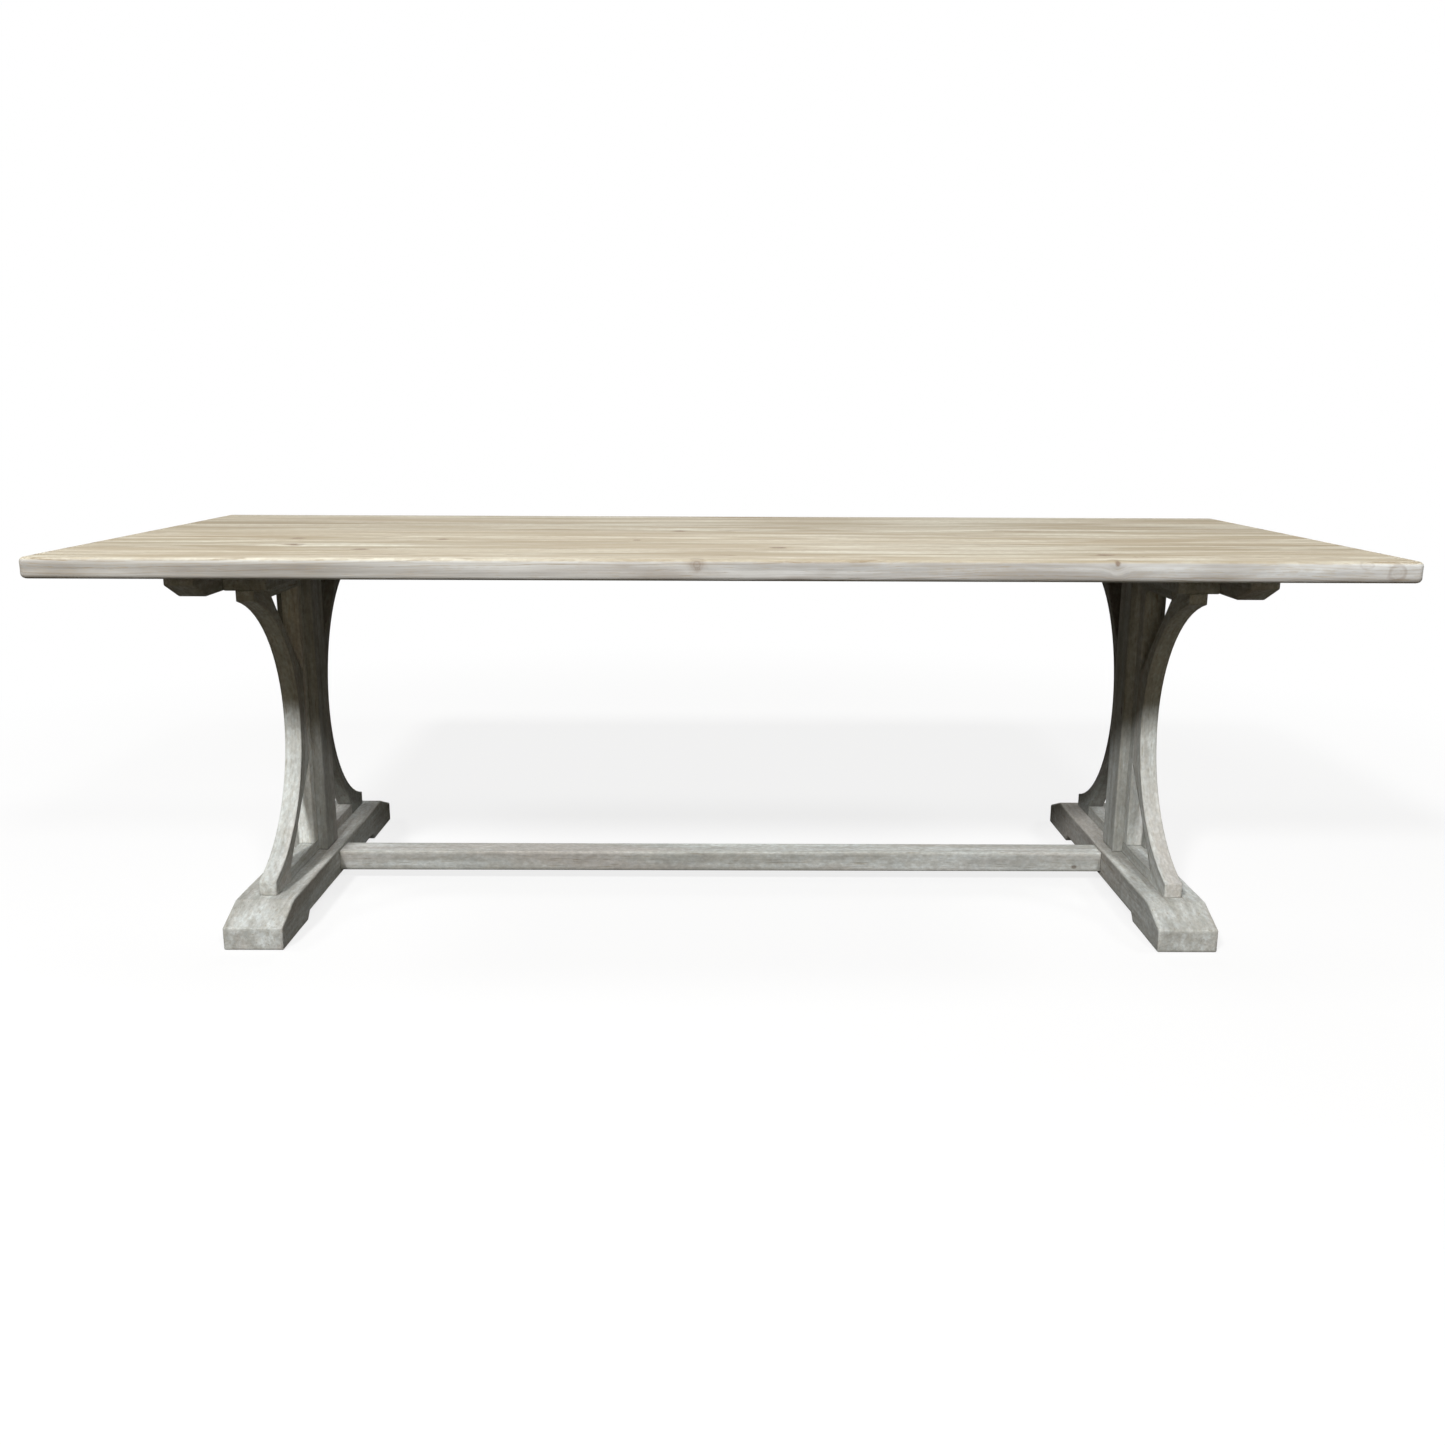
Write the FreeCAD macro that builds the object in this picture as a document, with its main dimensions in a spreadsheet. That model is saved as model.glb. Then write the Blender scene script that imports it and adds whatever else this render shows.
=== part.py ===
import FreeCAD, Part
import Sketcher
import math
import os
from types import SimpleNamespace

# Trestle dining table: a planked top on two trestles joined by one low stretcher.
# X runs along the table, Y across it, Z up; the origin is on the floor under the middle.

sizes = {
    # planked top
    "top_length": 2440,
    "top_width": 1016,
    "table_height": 762,
    "top_thickness": 38,
    "edge_plank_width": 56,
    "top_corner_radius": 14,
    "top_edge_radius": 8,
    "tongue_thickness": 8,
    "tongue_width": 24,
    "tongue_stop": 90,
    # from each end of the top to the middle of its trestle
    "trestle_inset": 322,
    # foot
    "foot_length": 840,
    "foot_width": 115,
    "foot_height": 74,
    "toe_height": 45,
    "toe_slope_run": 80,
    "pad_length": 155,
    "relief_height": 15,
    "relief_end_run": 15,
    # post with a tenon at each end
    "post_width": 74,
    "post_depth": 76,
    "post_tenon_width": 36,
    "post_tenon_depth": 56,
    "foot_tenon_length": 40,
    "beam_tenon_length": 30,
    # head beam on the post
    "beam_length": 640,
    "beam_width": 80,
    "beam_height": 44,
    # cleat under the top, outside the head beam
    "cleat_setback": 48,
    "cleat_width": 52,
    "cleat_height": 44,
    "cleat_nose_height": 17,
    "cleat_chamfer_run": 60,
    # brace before and behind the post, framed round two windows
    "brace_thickness": 34,
    "brace_tip_reach": 320,
    "brace_waist_reach": 103,
    "lower_tip_height": 29,
    "upper_tip_height": 20,
    "stile_width": 28,
    "rail_height": 24,
    "strip_width": 20,
    # stretcher between the feet
    "stretcher_depth": 60,
    "stretcher_height": 44,
    "stretcher_drop": 5,
    "stretcher_tenon_depth": 36,
    "stretcher_tenon_height": 28,
    "mortise_wall": 9.5,
    # wooden dowels and pegs
    "dowel_diameter": 10,
    "dowel_length": 30,
    "peg_diameter": 10,
    "peg_bite": 5,
    # steel screws and bolts
    "cleat_screw_diameter": 5,
    "cleat_screw_head_diameter": 10,
    "cleat_screw_head_height": 3,
    "cleat_screw_bite": 24,
    "counterbore_diameter": 14,
    "counterbore_depth": 14,
    "lag_diameter": 10,
    "lag_bite": 60,
    "lag_head_diameter": 19,
    "lag_head_height": 6,
    "bolt_diameter": 8,
    "bolt_spread": 400,
    "bolt_head_diameter": 15,
    "bolt_head_height": 5.5,
    "bolt_end_length": 4,
    "nut_height": 6.5,
    "washer_diameter": 24,
    "washer_thickness": 2,
    # room round tenons, tongues, dowels and screws, and past their ends
    "fit_clearance": 0.2,
    "end_room": 1,
}
inner_plank_count = 7
hexagon_sides = 6
# slope of the windows' long side, as shares across and up
window_across_share, window_up_share = 0.752, 0.659
rail_dowel_shares = (0.3, 0.75)
stile_dowel_shares = (0.12, 0.5, 0.88)

document = FreeCAD.newDocument("TrestleTable")
sheet = document.addObject("Spreadsheet::Sheet", "Sizes")
for row, (alias, number) in enumerate(sizes.items(), start=1):
    sheet.set(f"A{row}", alias)
    sheet.set(f"B{row}", str(number))
    sheet.setAlias(f"B{row}", alias)
document.recompute()


class Size:
    # A length that keeps both its number and the formula that binds it to the sheet.
    def __init__(self, number, formula):
        self.number = number
        self.formula = formula

    def __add__(self, other):
        other = asSize(other)
        return Size(self.number + other.number, f"({self.formula} + {other.formula})")

    def __sub__(self, other):
        other = asSize(other)
        return Size(self.number - other.number, f"({self.formula} - {other.formula})")

    def __mul__(self, other):
        other = asSize(other)
        return Size(self.number * other.number, f"({self.formula} * {other.formula})")

    def __truediv__(self, other):
        other = asSize(other)
        return Size(self.number / other.number, f"({self.formula} / {other.formula})")

    def __neg__(self):
        return Size(-self.number, f"(-1 * {self.formula})")

    def __radd__(self, other):
        return asSize(other) + self

    def __rmul__(self, other):
        return asSize(other) * self


def asSize(item):
    return item if isinstance(item, Size) else Size(item, str(item))


dim = SimpleNamespace(**{alias: Size(number, f"Sizes.{alias}") for alias, number in sizes.items()})

upright = FreeCAD.Rotation()
along_x = FreeCAD.Rotation(FreeCAD.Vector(0, 1, 0), 90)
along_y = FreeCAD.Rotation(FreeCAD.Vector(1, 0, 0), -90)
half_turn = FreeCAD.Rotation(FreeCAD.Vector(0, 0, 1), 180)

# Levels and reaches that several pieces share.
underside = dim.table_height - dim.top_thickness
beam_base = underside - dim.beam_height
rail_top = dim.foot_height + dim.rail_height
rail_base = beam_base - dim.rail_height
stile_edge = dim.post_depth / 2 + dim.stile_width
trestle_place = dim.top_length / 2 - dim.trestle_inset
inner_span = dim.top_width - dim.edge_plank_width * 2
inner_width = inner_span / inner_plank_count
dowel_radius = dim.dowel_diameter / 2
dowel_half = dim.dowel_length / 2
dowel_hole = dowel_radius + dim.fit_clearance
dowel_hole_depth = dowel_half + dim.end_room
lag_hole = dim.lag_diameter / 2 + dim.fit_clearance
bolt_hole = dim.bolt_diameter / 2 + dim.fit_clearance
screw_hole = dim.cleat_screw_diameter / 2 + dim.fit_clearance
bolt_level = underside - dim.beam_height / 2
cleat_outside = dim.beam_width / 2 + dim.cleat_width
stretcher_lift = dim.foot_height - dim.stretcher_drop - dim.stretcher_height
stretcher_tenon_base = stretcher_lift + (dim.stretcher_height - dim.stretcher_tenon_height) / 2
stretcher_tenon_length = (dim.foot_width - dim.post_tenon_width) / 2 - dim.mortise_wall
peg_inset = stretcher_tenon_length / 2
peg_top = stretcher_tenon_base + dim.stretcher_tenon_height + dim.peg_bite

# The brace's curve, and the windows set off from it by the width of the strip.
curve_low = dim.foot_height + dim.lower_tip_height
curve_high = beam_base - dim.upper_tip_height
curve_rise = (curve_high - curve_low) / 2
curve_run = dim.brace_tip_reach - dim.brace_waist_reach
curve_radius = (curve_rise * curve_rise + curve_run * curve_run) / (curve_run * 2)
curve_reach = dim.brace_waist_reach + curve_radius
curve_level = curve_low + curve_rise
strip_reach = curve_radius + dim.strip_width
lower_heel = curve_reach - (strip_reach - (curve_level - rail_top) * window_up_share) / window_across_share
upper_heel = curve_reach - (strip_reach - (rail_base - curve_level) * window_up_share) / window_across_share
window_gap = (strip_reach - (curve_reach - stile_edge) * window_across_share) / window_up_share

rail_dowel_reaches = [dim.post_depth / 2 + (upper_heel - dim.post_depth / 2) * share
                      for share in rail_dowel_shares]
tip_dowel_reach = (lower_heel + dim.brace_tip_reach) / 2
brace_dowel_reaches = rail_dowel_reaches + [tip_dowel_reach]
stile_dowel_levels = [rail_top + (rail_base - rail_top) * share for share in stile_dowel_shares]
bolt_reaches = (dim.bolt_spread / -2, dim.bolt_spread / 2)
plank_centres = [inner_width * (index - (inner_plank_count - 1) / 2) for index in range(inner_plank_count)]

parts = []


def bind(item, prop, size):
    size = asSize(size)
    setattr(item, prop, size.number)
    item.setExpression(prop, size.formula)


def place(item, spot, turn=upright):
    spot = [asSize(size) for size in spot]
    item.Placement = FreeCAD.Placement(FreeCAD.Vector(*[size.number for size in spot]), turn)
    for axis, size in zip("xyz", spot):
        item.setExpression(f"Placement.Base.{axis}", size.formula)


def keep(item, label):
    item.Label = label
    parts.append(item)
    return item


def newBody(label):
    return keep(document.addObject("PartDesign::Body", label), label)


def outline(body, plane, corners, arcs=None):
    # A closed sketch through the corners; arcs give the centre, radius and turn of the side after a corner.
    arcs = arcs or {}
    corners = [(asSize(across), asSize(up)) for across, up in corners]
    sketch = body.newObject("Sketcher::SketchObject", f"{body.Name}_outline")
    origin_plane = next(item for item in body.Origin.OriginFeatures if item.Role == plane)
    sketch.AttachmentSupport = [(origin_plane, "")]
    sketch.MapMode = "FlatFace"
    points = [FreeCAD.Vector(across.number, up.number, 0) for across, up in corners]
    ends = []
    for index, start in enumerate(points):
        finish = points[(index + 1) % len(points)]
        if index not in arcs:
            sketch.addGeometry(Part.LineSegment(start, finish), False)
            ends.append((1, 2))
            continue
        centre, radius, forward = arcs[index]
        middle = FreeCAD.Vector(asSize(centre[0]).number, asSize(centre[1]).number, 0)
        first = math.atan2(start.y - middle.y, start.x - middle.x)
        last = math.atan2(finish.y - middle.y, finish.x - middle.x)
        circle = Part.Circle(middle, FreeCAD.Vector(0, 0, 1), radius.number)
        span = (first, last) if forward else (last, first)
        sketch.addGeometry(Part.ArcOfCircle(circle, *span), False)
        ends.append((1, 2) if forward else (2, 1))
    for index, corner in enumerate(corners):
        after = (index + 1) % len(corners)
        sketch.addConstraint(Sketcher.Constraint("Coincident", index, ends[index][1], after, ends[after][0]))
        for direction, size in zip(("DistanceX", "DistanceY"), corner):
            spot = Sketcher.Constraint(direction, -1, 1, index, ends[index][0], size.number)
            number = sketch.addConstraint(spot)
            sketch.setExpression(f"Constraints[{number}]", size.formula)
    for index, (centre, radius, forward) in arcs.items():
        number = sketch.addConstraint(Sketcher.Constraint("Radius", index, radius.number))
        sketch.setExpression(f"Constraints[{number}]", radius.formula)
    return sketch


def pad(body, sketch, length, both_ways=False):
    feature = body.newObject("PartDesign::Pad", f"{body.Name}_pad")
    feature.Profile = sketch
    bind(feature, "Length", length)
    feature.Midplane = both_ways
    return feature


def block(body, kind, corner, lengths):
    feature = body.newObject(f"PartDesign::{kind}Box", f"{body.Name}_block")
    for prop, length in zip(("Length", "Width", "Height"), lengths):
        bind(feature, prop, length)
    place(feature, corner)
    return feature


def drill(body, start, turn, radius, depth):
    feature = body.newObject("PartDesign::SubtractiveCylinder", f"{body.Name}_hole")
    bind(feature, "Radius", radius)
    bind(feature, "Height", depth)
    place(feature, start, turn)
    return feature


def box(body, low, high):
    # A pad over a rectangle, from the low corner to the high one.
    corners = [(low[0], low[1]), (high[0], low[1]), (high[0], high[1]), (low[0], high[1])]
    return pad(body, outline(body, "XY_Plane", corners), high[2])


def rod(name, start, turn, radius, length):
    item = document.addObject("Part::Cylinder", name)
    bind(item, "Radius", radius)
    bind(item, "Height", length)
    place(item, start, turn)
    return item


def hexagon(name, start, turn, diameter, length):
    item = document.addObject("Part::Prism", name)
    item.Polygon = hexagon_sides
    bind(item, "Circumradius", diameter / 2)
    bind(item, "Height", length)
    place(item, start, turn)
    return item


def join(name, kind, base, tool):
    item = document.addObject(f"Part::{kind}", name)
    item.Base = base
    item.Tool = tool
    return item


def group(label, items):
    item = document.addObject("Part::Compound", label)
    item.Links = items
    return keep(item, label)


def roundEnds(body, wanted):
    # Ease the arrises of the top and bottom faces that the test picks.
    document.recompute()
    base = body.Tip
    names = []
    for number, edge in enumerate(base.Shape.Edges, start=1):
        levels = {round(vertex.Z, 3) for vertex in edge.Vertexes}
        flat = levels == {0} or levels == {round(sizes["top_thickness"], 3)}
        if flat and wanted(edge):
            names.append(f"Edge{number}")
    feature = body.newObject("PartDesign::Fillet", f"{body.Name}_easing")
    feature.Base = (base, names)
    bind(feature, "Radius", dim.top_edge_radius)
    body.Tip = feature


def groove(body, seam, side):
    # Slot for a loose tongue along one edge of a plank.
    half = dim.tongue_width / 2 + dim.fit_clearance
    length = dim.top_length - dim.tongue_stop * 2 + dim.fit_clearance * 2
    height = dim.tongue_thickness + dim.fit_clearance * 2
    near = seam - half if side > 0 else seam
    block(body, "Subtractive", (length / -2, near, (dim.top_thickness - height) / 2), (length, half, height))


def edgePlank(label, side):
    body = newBody(label)
    end = dim.top_length / 2
    curve = dim.top_corner_radius
    outer = -dim.edge_plank_width
    corners = [(end, 0), (-end, 0), (-end, outer + curve), (curve - end, outer),
               (end - curve, outer), (end, outer + curve)]
    arcs = {2: ((curve - end, outer + curve), curve, True), 4: ((end - curve, outer + curve), curve, True)}
    pad(body, outline(body, "XY_Plane", corners, arcs), dim.top_thickness)
    groove(body, asSize(0), 1)
    roundEnds(body, lambda edge: min(vertex.Y for vertex in edge.Vertexes) < -sizes["fit_clearance"])
    place(body, (0, inner_span / 2 * side, underside), upright if side < 0 else half_turn)


def innerPlank(label, centre):
    body = newBody(label)
    end = dim.top_length / 2
    half = inner_width / 2
    box(body, (-end, -half), (end, half, dim.top_thickness))
    groove(body, -half, -1)
    groove(body, half, 1)
    for side in (-1, 1):
        spot = (trestle_place + dim.beam_width / 2 + dim.cleat_width / 2) * side
        drill(body, (spot, 0, 0), upright, screw_hole, dim.cleat_screw_bite + dim.end_room)
    reach = sizes["top_length"] / 2 - sizes["fit_clearance"]
    roundEnds(body, lambda edge: min(abs(vertex.X) for vertex in edge.Vertexes) > reach)
    place(body, (0, centre, underside))


def tongues(label):
    items = []
    for index in range(inner_plank_count + 1):
        item = document.addObject("Part::Box", f"tongue_{index + 1}")
        length = dim.top_length - dim.tongue_stop * 2
        bind(item, "Length", length)
        bind(item, "Width", dim.tongue_width)
        bind(item, "Height", dim.tongue_thickness)
        seam = inner_width * (index - inner_plank_count / 2)
        level = underside + (dim.top_thickness - dim.tongue_thickness) / 2
        place(item, (length / -2, seam - dim.tongue_width / 2, level))
        items.append(item)
    group(label, items)


def trestleTurn(side):
    return upright if side > 0 else half_turn


def foot(label, side):
    body = newBody(label)
    end = dim.foot_length / 2
    shoulder = end - dim.toe_slope_run
    pad_end = end - dim.pad_length
    relief = pad_end - dim.relief_end_run
    half_outline = [(pad_end, 0), (end, 0), (end, dim.toe_height), (shoulder, dim.foot_height)]
    mirrored = [(-across, up) for across, up in reversed(half_outline)]
    arch = [(-relief, dim.relief_height), (relief, dim.relief_height)]
    sketch = outline(body, "YZ_Plane", half_outline + mirrored + arch)
    pad(body, sketch, dim.foot_width, both_ways=True)
    tenon_room = dim.foot_tenon_length + dim.end_room
    mortise(body, dim.foot_height - tenon_room, tenon_room)
    inner = dim.foot_width / -2
    slot = (stretcher_tenon_length + dim.end_room,
            dim.stretcher_tenon_depth + dim.fit_clearance * 2,
            dim.stretcher_tenon_height + dim.fit_clearance * 2)
    block(body, "Subtractive", (inner, slot[1] / -2, stretcher_tenon_base - dim.fit_clearance), slot)
    drill(body, (inner + peg_inset, 0, 0), upright, dim.peg_diameter / 2 + dim.fit_clearance,
          peg_top + dim.end_room)
    drill(body, (0, 0, 0), upright, lag_hole, dim.foot_height)
    for way in (-1, 1):
        for reach in brace_dowel_reaches:
            drill(body, (0, reach * way, dim.foot_height - dowel_hole_depth), upright, dowel_hole,
                  dowel_hole_depth)
    place(body, (trestle_place * side, 0, 0), trestleTurn(side))


def mortise(body, base, depth):
    wide = dim.post_tenon_width + dim.fit_clearance * 2
    deep = dim.post_tenon_depth + dim.fit_clearance * 2
    block(body, "Subtractive", (wide / -2, deep / -2, base), (wide, deep, depth))


def post(label, side):
    body = newBody(label)
    wide, deep = dim.post_width / 2, dim.post_depth / 2
    height = beam_base - dim.foot_height
    box(body, (-wide, -deep), (wide, deep, height))
    corner = (dim.post_tenon_width / -2, dim.post_tenon_depth / -2)
    section = (dim.post_tenon_width, dim.post_tenon_depth)
    block(body, "Additive", corner + (-dim.foot_tenon_length,), section + (dim.foot_tenon_length,))
    block(body, "Additive", corner + (height,), section + (dim.beam_tenon_length,))
    drill(body, (0, 0, -dim.foot_tenon_length), upright, lag_hole, dim.lag_bite + dim.end_room)
    for level in stile_dowel_levels:
        for start in (-deep, deep - dowel_hole_depth):
            drill(body, (0, start, level - dim.foot_height), along_y, dowel_hole, dowel_hole_depth)
    place(body, (trestle_place * side, 0, dim.foot_height), trestleTurn(side))


def headBeam(label, side):
    body = newBody(label)
    wide, end = dim.beam_width / 2, dim.beam_length / 2
    box(body, (-wide, -end), (wide, end, dim.beam_height))
    mortise(body, asSize(0), dim.beam_tenon_length + dim.end_room)
    for way in (-1, 1):
        for reach in brace_dowel_reaches:
            drill(body, (0, reach * way, 0), upright, dowel_hole, dowel_hole_depth)
    for reach in bolt_reaches:
        drill(body, (-wide, reach, dim.beam_height / 2), along_x, bolt_hole, dim.beam_width)
    place(body, (trestle_place * side, 0, beam_base), trestleTurn(side))


def cleat(label, side):
    body = newBody(label)
    end = dim.top_width / 2 - dim.cleat_setback
    flat = end - dim.cleat_chamfer_run
    corners = [(-end, 0), (-end, -dim.cleat_nose_height), (-flat, -dim.cleat_height),
               (flat, -dim.cleat_height), (end, -dim.cleat_nose_height), (end, 0)]
    pad(body, outline(body, "YZ_Plane", corners), dim.cleat_width)
    for centre in plank_centres:
        spot = (dim.cleat_width / 2, centre, -dim.cleat_height)
        drill(body, spot, upright, dim.counterbore_diameter / 2, dim.counterbore_depth)
        drill(body, spot, upright, screw_hole, dim.cleat_height)
    for reach in bolt_reaches:
        drill(body, (0, reach, dim.beam_height / -2), along_x, bolt_hole, dim.cleat_width)
    place(body, ((trestle_place + dim.beam_width / 2) * side, 0, underside), trestleTurn(side))


def braceFrame(body, side, way):
    # The brace pieces are drawn behind the post and turned half round for the ones before it.
    place(body, (trestle_place * side, 0, 0), upright if way > 0 else half_turn)


def curvedBrace(label, side, way):
    body = newBody(label)
    tip = dim.brace_tip_reach
    corners = [(tip, dim.foot_height), (tip, curve_low), (tip, curve_high), (tip, beam_base),
               (upper_heel, beam_base), (upper_heel, rail_base), (stile_edge, curve_level + window_gap),
               (stile_edge, curve_level - window_gap), (lower_heel, rail_top), (lower_heel, dim.foot_height)]
    arcs = {1: ((curve_reach, curve_level), curve_radius, False)}
    pad(body, outline(body, "YZ_Plane", corners, arcs), dim.brace_thickness, both_ways=True)
    drill(body, (0, tip_dowel_reach, dim.foot_height), upright, dowel_hole, dowel_hole_depth)
    drill(body, (0, tip_dowel_reach, beam_base - dowel_hole_depth), upright, dowel_hole, dowel_hole_depth)
    braceFrame(body, side, way)


def braceBar(label, side, way, low, high):
    # A straight bar of the brace frame from its low corner to its high one, in reach and level.
    body = newBody(label)
    corners = [low, (high[0], low[1]), high, (low[0], high[1])]
    pad(body, outline(body, "YZ_Plane", corners), dim.brace_thickness, both_ways=True)
    braceFrame(body, side, way)
    return body


def brace(name, side, way):
    face = dim.post_depth / 2
    curvedBrace(f"curved_brace_{name}", side, way)
    stile = braceBar(f"brace_stile_{name}", side, way, (face, rail_top), (stile_edge, rail_base))
    for level in stile_dowel_levels:
        drill(stile, (0, face, level), along_y, dowel_hole, dowel_hole_depth)
    lower = braceBar(f"lower_rail_{name}", side, way, (face, dim.foot_height), (lower_heel, rail_top))
    upper = braceBar(f"upper_rail_{name}", side, way, (face, rail_base), (upper_heel, beam_base))
    for reach in rail_dowel_reaches:
        drill(lower, (0, reach, dim.foot_height), upright, dowel_hole, dowel_hole_depth)
        drill(upper, (0, reach, beam_base - dowel_hole_depth), upright, dowel_hole, dowel_hole_depth)


def stretcher(label):
    body = newBody(label)
    end = trestle_place - dim.foot_width / 2
    deep = dim.stretcher_depth / 2
    box(body, (-end, -deep), (end, deep, dim.stretcher_height))
    length = stretcher_tenon_length
    tenon_lift = (dim.stretcher_height - dim.stretcher_tenon_height) / 2
    for side, start in ((-1, -end - length), (1, end)):
        block(body, "Additive", (start, dim.stretcher_tenon_depth / -2, tenon_lift),
              (length, dim.stretcher_tenon_depth, dim.stretcher_tenon_height))
        drill(body, ((end + peg_inset) * side, 0, 0), upright, dim.peg_diameter / 2 + dim.fit_clearance,
              dim.stretcher_height)
    place(body, (0, 0, stretcher_lift))


def fixings():
    foot_dowels, beam_dowels, stile_dowels, pegs = [], [], [], []
    screws, lags, lag_washers, bolts, bolt_washers, nuts = [], [], [], [], [], []
    for side in (-1, 1):
        spot = trestle_place * side
        for way in (-1, 1):
            for reach in brace_dowel_reaches:
                for items, level in ((foot_dowels, dim.foot_height), (beam_dowels, beam_base)):
                    items.append(rod("dowel", (spot, reach * way, level - dowel_half), upright,
                                     dowel_radius, dim.dowel_length))
            for level in stile_dowel_levels:
                start = dim.post_depth / 2 * way - dowel_half
                stile_dowels.append(rod("dowel", (spot, start, level), along_y, dowel_radius,
                                        dim.dowel_length))
        peg_place = (trestle_place - dim.foot_width / 2 + peg_inset) * side
        pegs.append(rod("peg", (peg_place, 0, dim.relief_height), upright, dim.peg_diameter / 2,
                        peg_top - dim.relief_height))
        lags.append(lagScrew(spot))
        washer_base = dim.relief_height - dim.washer_thickness
        lag_washers.append(washer((spot, 0, washer_base), upright, lag_hole))
        cleat_middle = (trestle_place + dim.beam_width / 2 + dim.cleat_width / 2) * side
        screws += [cleatScrew(cleat_middle, centre) for centre in plank_centres]
        for reach in bolt_reaches:
            addBolt(side, reach, bolts, bolt_washers, nuts)
    group("foot_dowels", foot_dowels)
    group("beam_dowels", beam_dowels)
    group("stile_dowels", stile_dowels)
    group("stretcher_pegs", pegs)
    group("cleat_screws", screws)
    group("post_lag_screws", lags)
    group("lag_washers", lag_washers)
    group("cleat_bolts", bolts)
    group("bolt_washers", bolt_washers)
    group("bolt_nuts", nuts)


def washer(start, turn, hole):
    rim = rod("washer_rim", start, turn, dim.washer_diameter / 2, dim.washer_thickness)
    bore = rod("washer_bore", start, turn, hole, dim.washer_thickness)
    return join("washer", "Cut", rim, bore)


def lagScrew(spot):
    base = dim.relief_height - dim.washer_thickness
    shank_top = dim.foot_height - dim.foot_tenon_length + dim.lag_bite
    shank = rod("lag_shank", (spot, 0, base), upright, dim.lag_diameter / 2, shank_top - base)
    head = hexagon("lag_head", (spot, 0, base - dim.lag_head_height), upright, dim.lag_head_diameter,
                   dim.lag_head_height)
    return join("lag_screw", "Fuse", shank, head)


def cleatScrew(spot, centre):
    seat = underside - dim.cleat_height + dim.counterbore_depth
    shank = rod("screw_shank", (spot, centre, seat), upright, dim.cleat_screw_diameter / 2,
                underside + dim.cleat_screw_bite - seat)
    head = rod("screw_head", (spot, centre, seat - dim.cleat_screw_head_height), upright,
               dim.cleat_screw_head_diameter / 2, dim.cleat_screw_head_height)
    return join("cleat_screw", "Fuse", shank, head)


def addBolt(side, reach, bolts, washers, nuts):
    # The bolt runs from a nut inside the head beam to its head outside the cleat.
    inside = trestle_place - dim.beam_width / 2
    outside = trestle_place + cleat_outside
    nut_face = inside - dim.washer_thickness
    shank_start = nut_face - dim.nut_height - dim.bolt_end_length
    head_face = outside + dim.washer_thickness

    def mirrored(start, length):
        return start if side > 0 else -(start + length)

    length = head_face - shank_start
    shank = rod("bolt_shank", (mirrored(shank_start, length), reach, bolt_level), along_x,
                dim.bolt_diameter / 2, length)
    head = hexagon("bolt_head", (mirrored(head_face, dim.bolt_head_height), reach, bolt_level), along_x,
                   dim.bolt_head_diameter, dim.bolt_head_height)
    bolts.append(join("cleat_bolt", "Fuse", shank, head))
    nut_place = (mirrored(nut_face - dim.nut_height, dim.nut_height), reach, bolt_level)
    whole = hexagon("nut_whole", nut_place, along_x, dim.bolt_head_diameter, dim.nut_height)
    bore = rod("nut_bore", nut_place, along_x, bolt_hole, dim.nut_height)
    nuts.append(join("bolt_nut", "Cut", whole, bore))
    for start in (nut_face, outside):
        spot = (mirrored(start, dim.washer_thickness), reach, bolt_level)
        washers.append(washer(spot, along_x, bolt_hole))


edgePlank("top_plank_1", -1)
for index, centre in enumerate(plank_centres):
    innerPlank(f"top_plank_{index + 2}", centre)
edgePlank(f"top_plank_{inner_plank_count + 2}", 1)
tongues("plank_tongues")
for side_name, side in (("left", -1), ("right", 1)):
    foot(f"foot_{side_name}", side)
    post(f"post_{side_name}", side)
    headBeam(f"head_beam_{side_name}", side)
    cleat(f"cleat_{side_name}", side)
    for way_name, way in (("front", -1), ("rear", 1)):
        brace(f"{side_name}_{way_name}", side, way)
stretcher("stretcher")
fixings()
document.recompute()

faults = [item.Label for item in document.Objects if {"Invalid", "Error"} & set(item.State)]
faults += [item.Label for item in parts if item.Shape.isNull() or not item.Shape.isValid()]
if faults:
    raise RuntimeError(f"these pieces failed: {faults}")
os.makedirs("parts", exist_ok=True)
for item in parts:
    item.Shape.exportStep(f"parts/{item.Label}.step")
print(len(parts), "pieces written")
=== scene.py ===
import math
import random

import bmesh
import bpy
from mathutils import Matrix, Vector, noise


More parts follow.
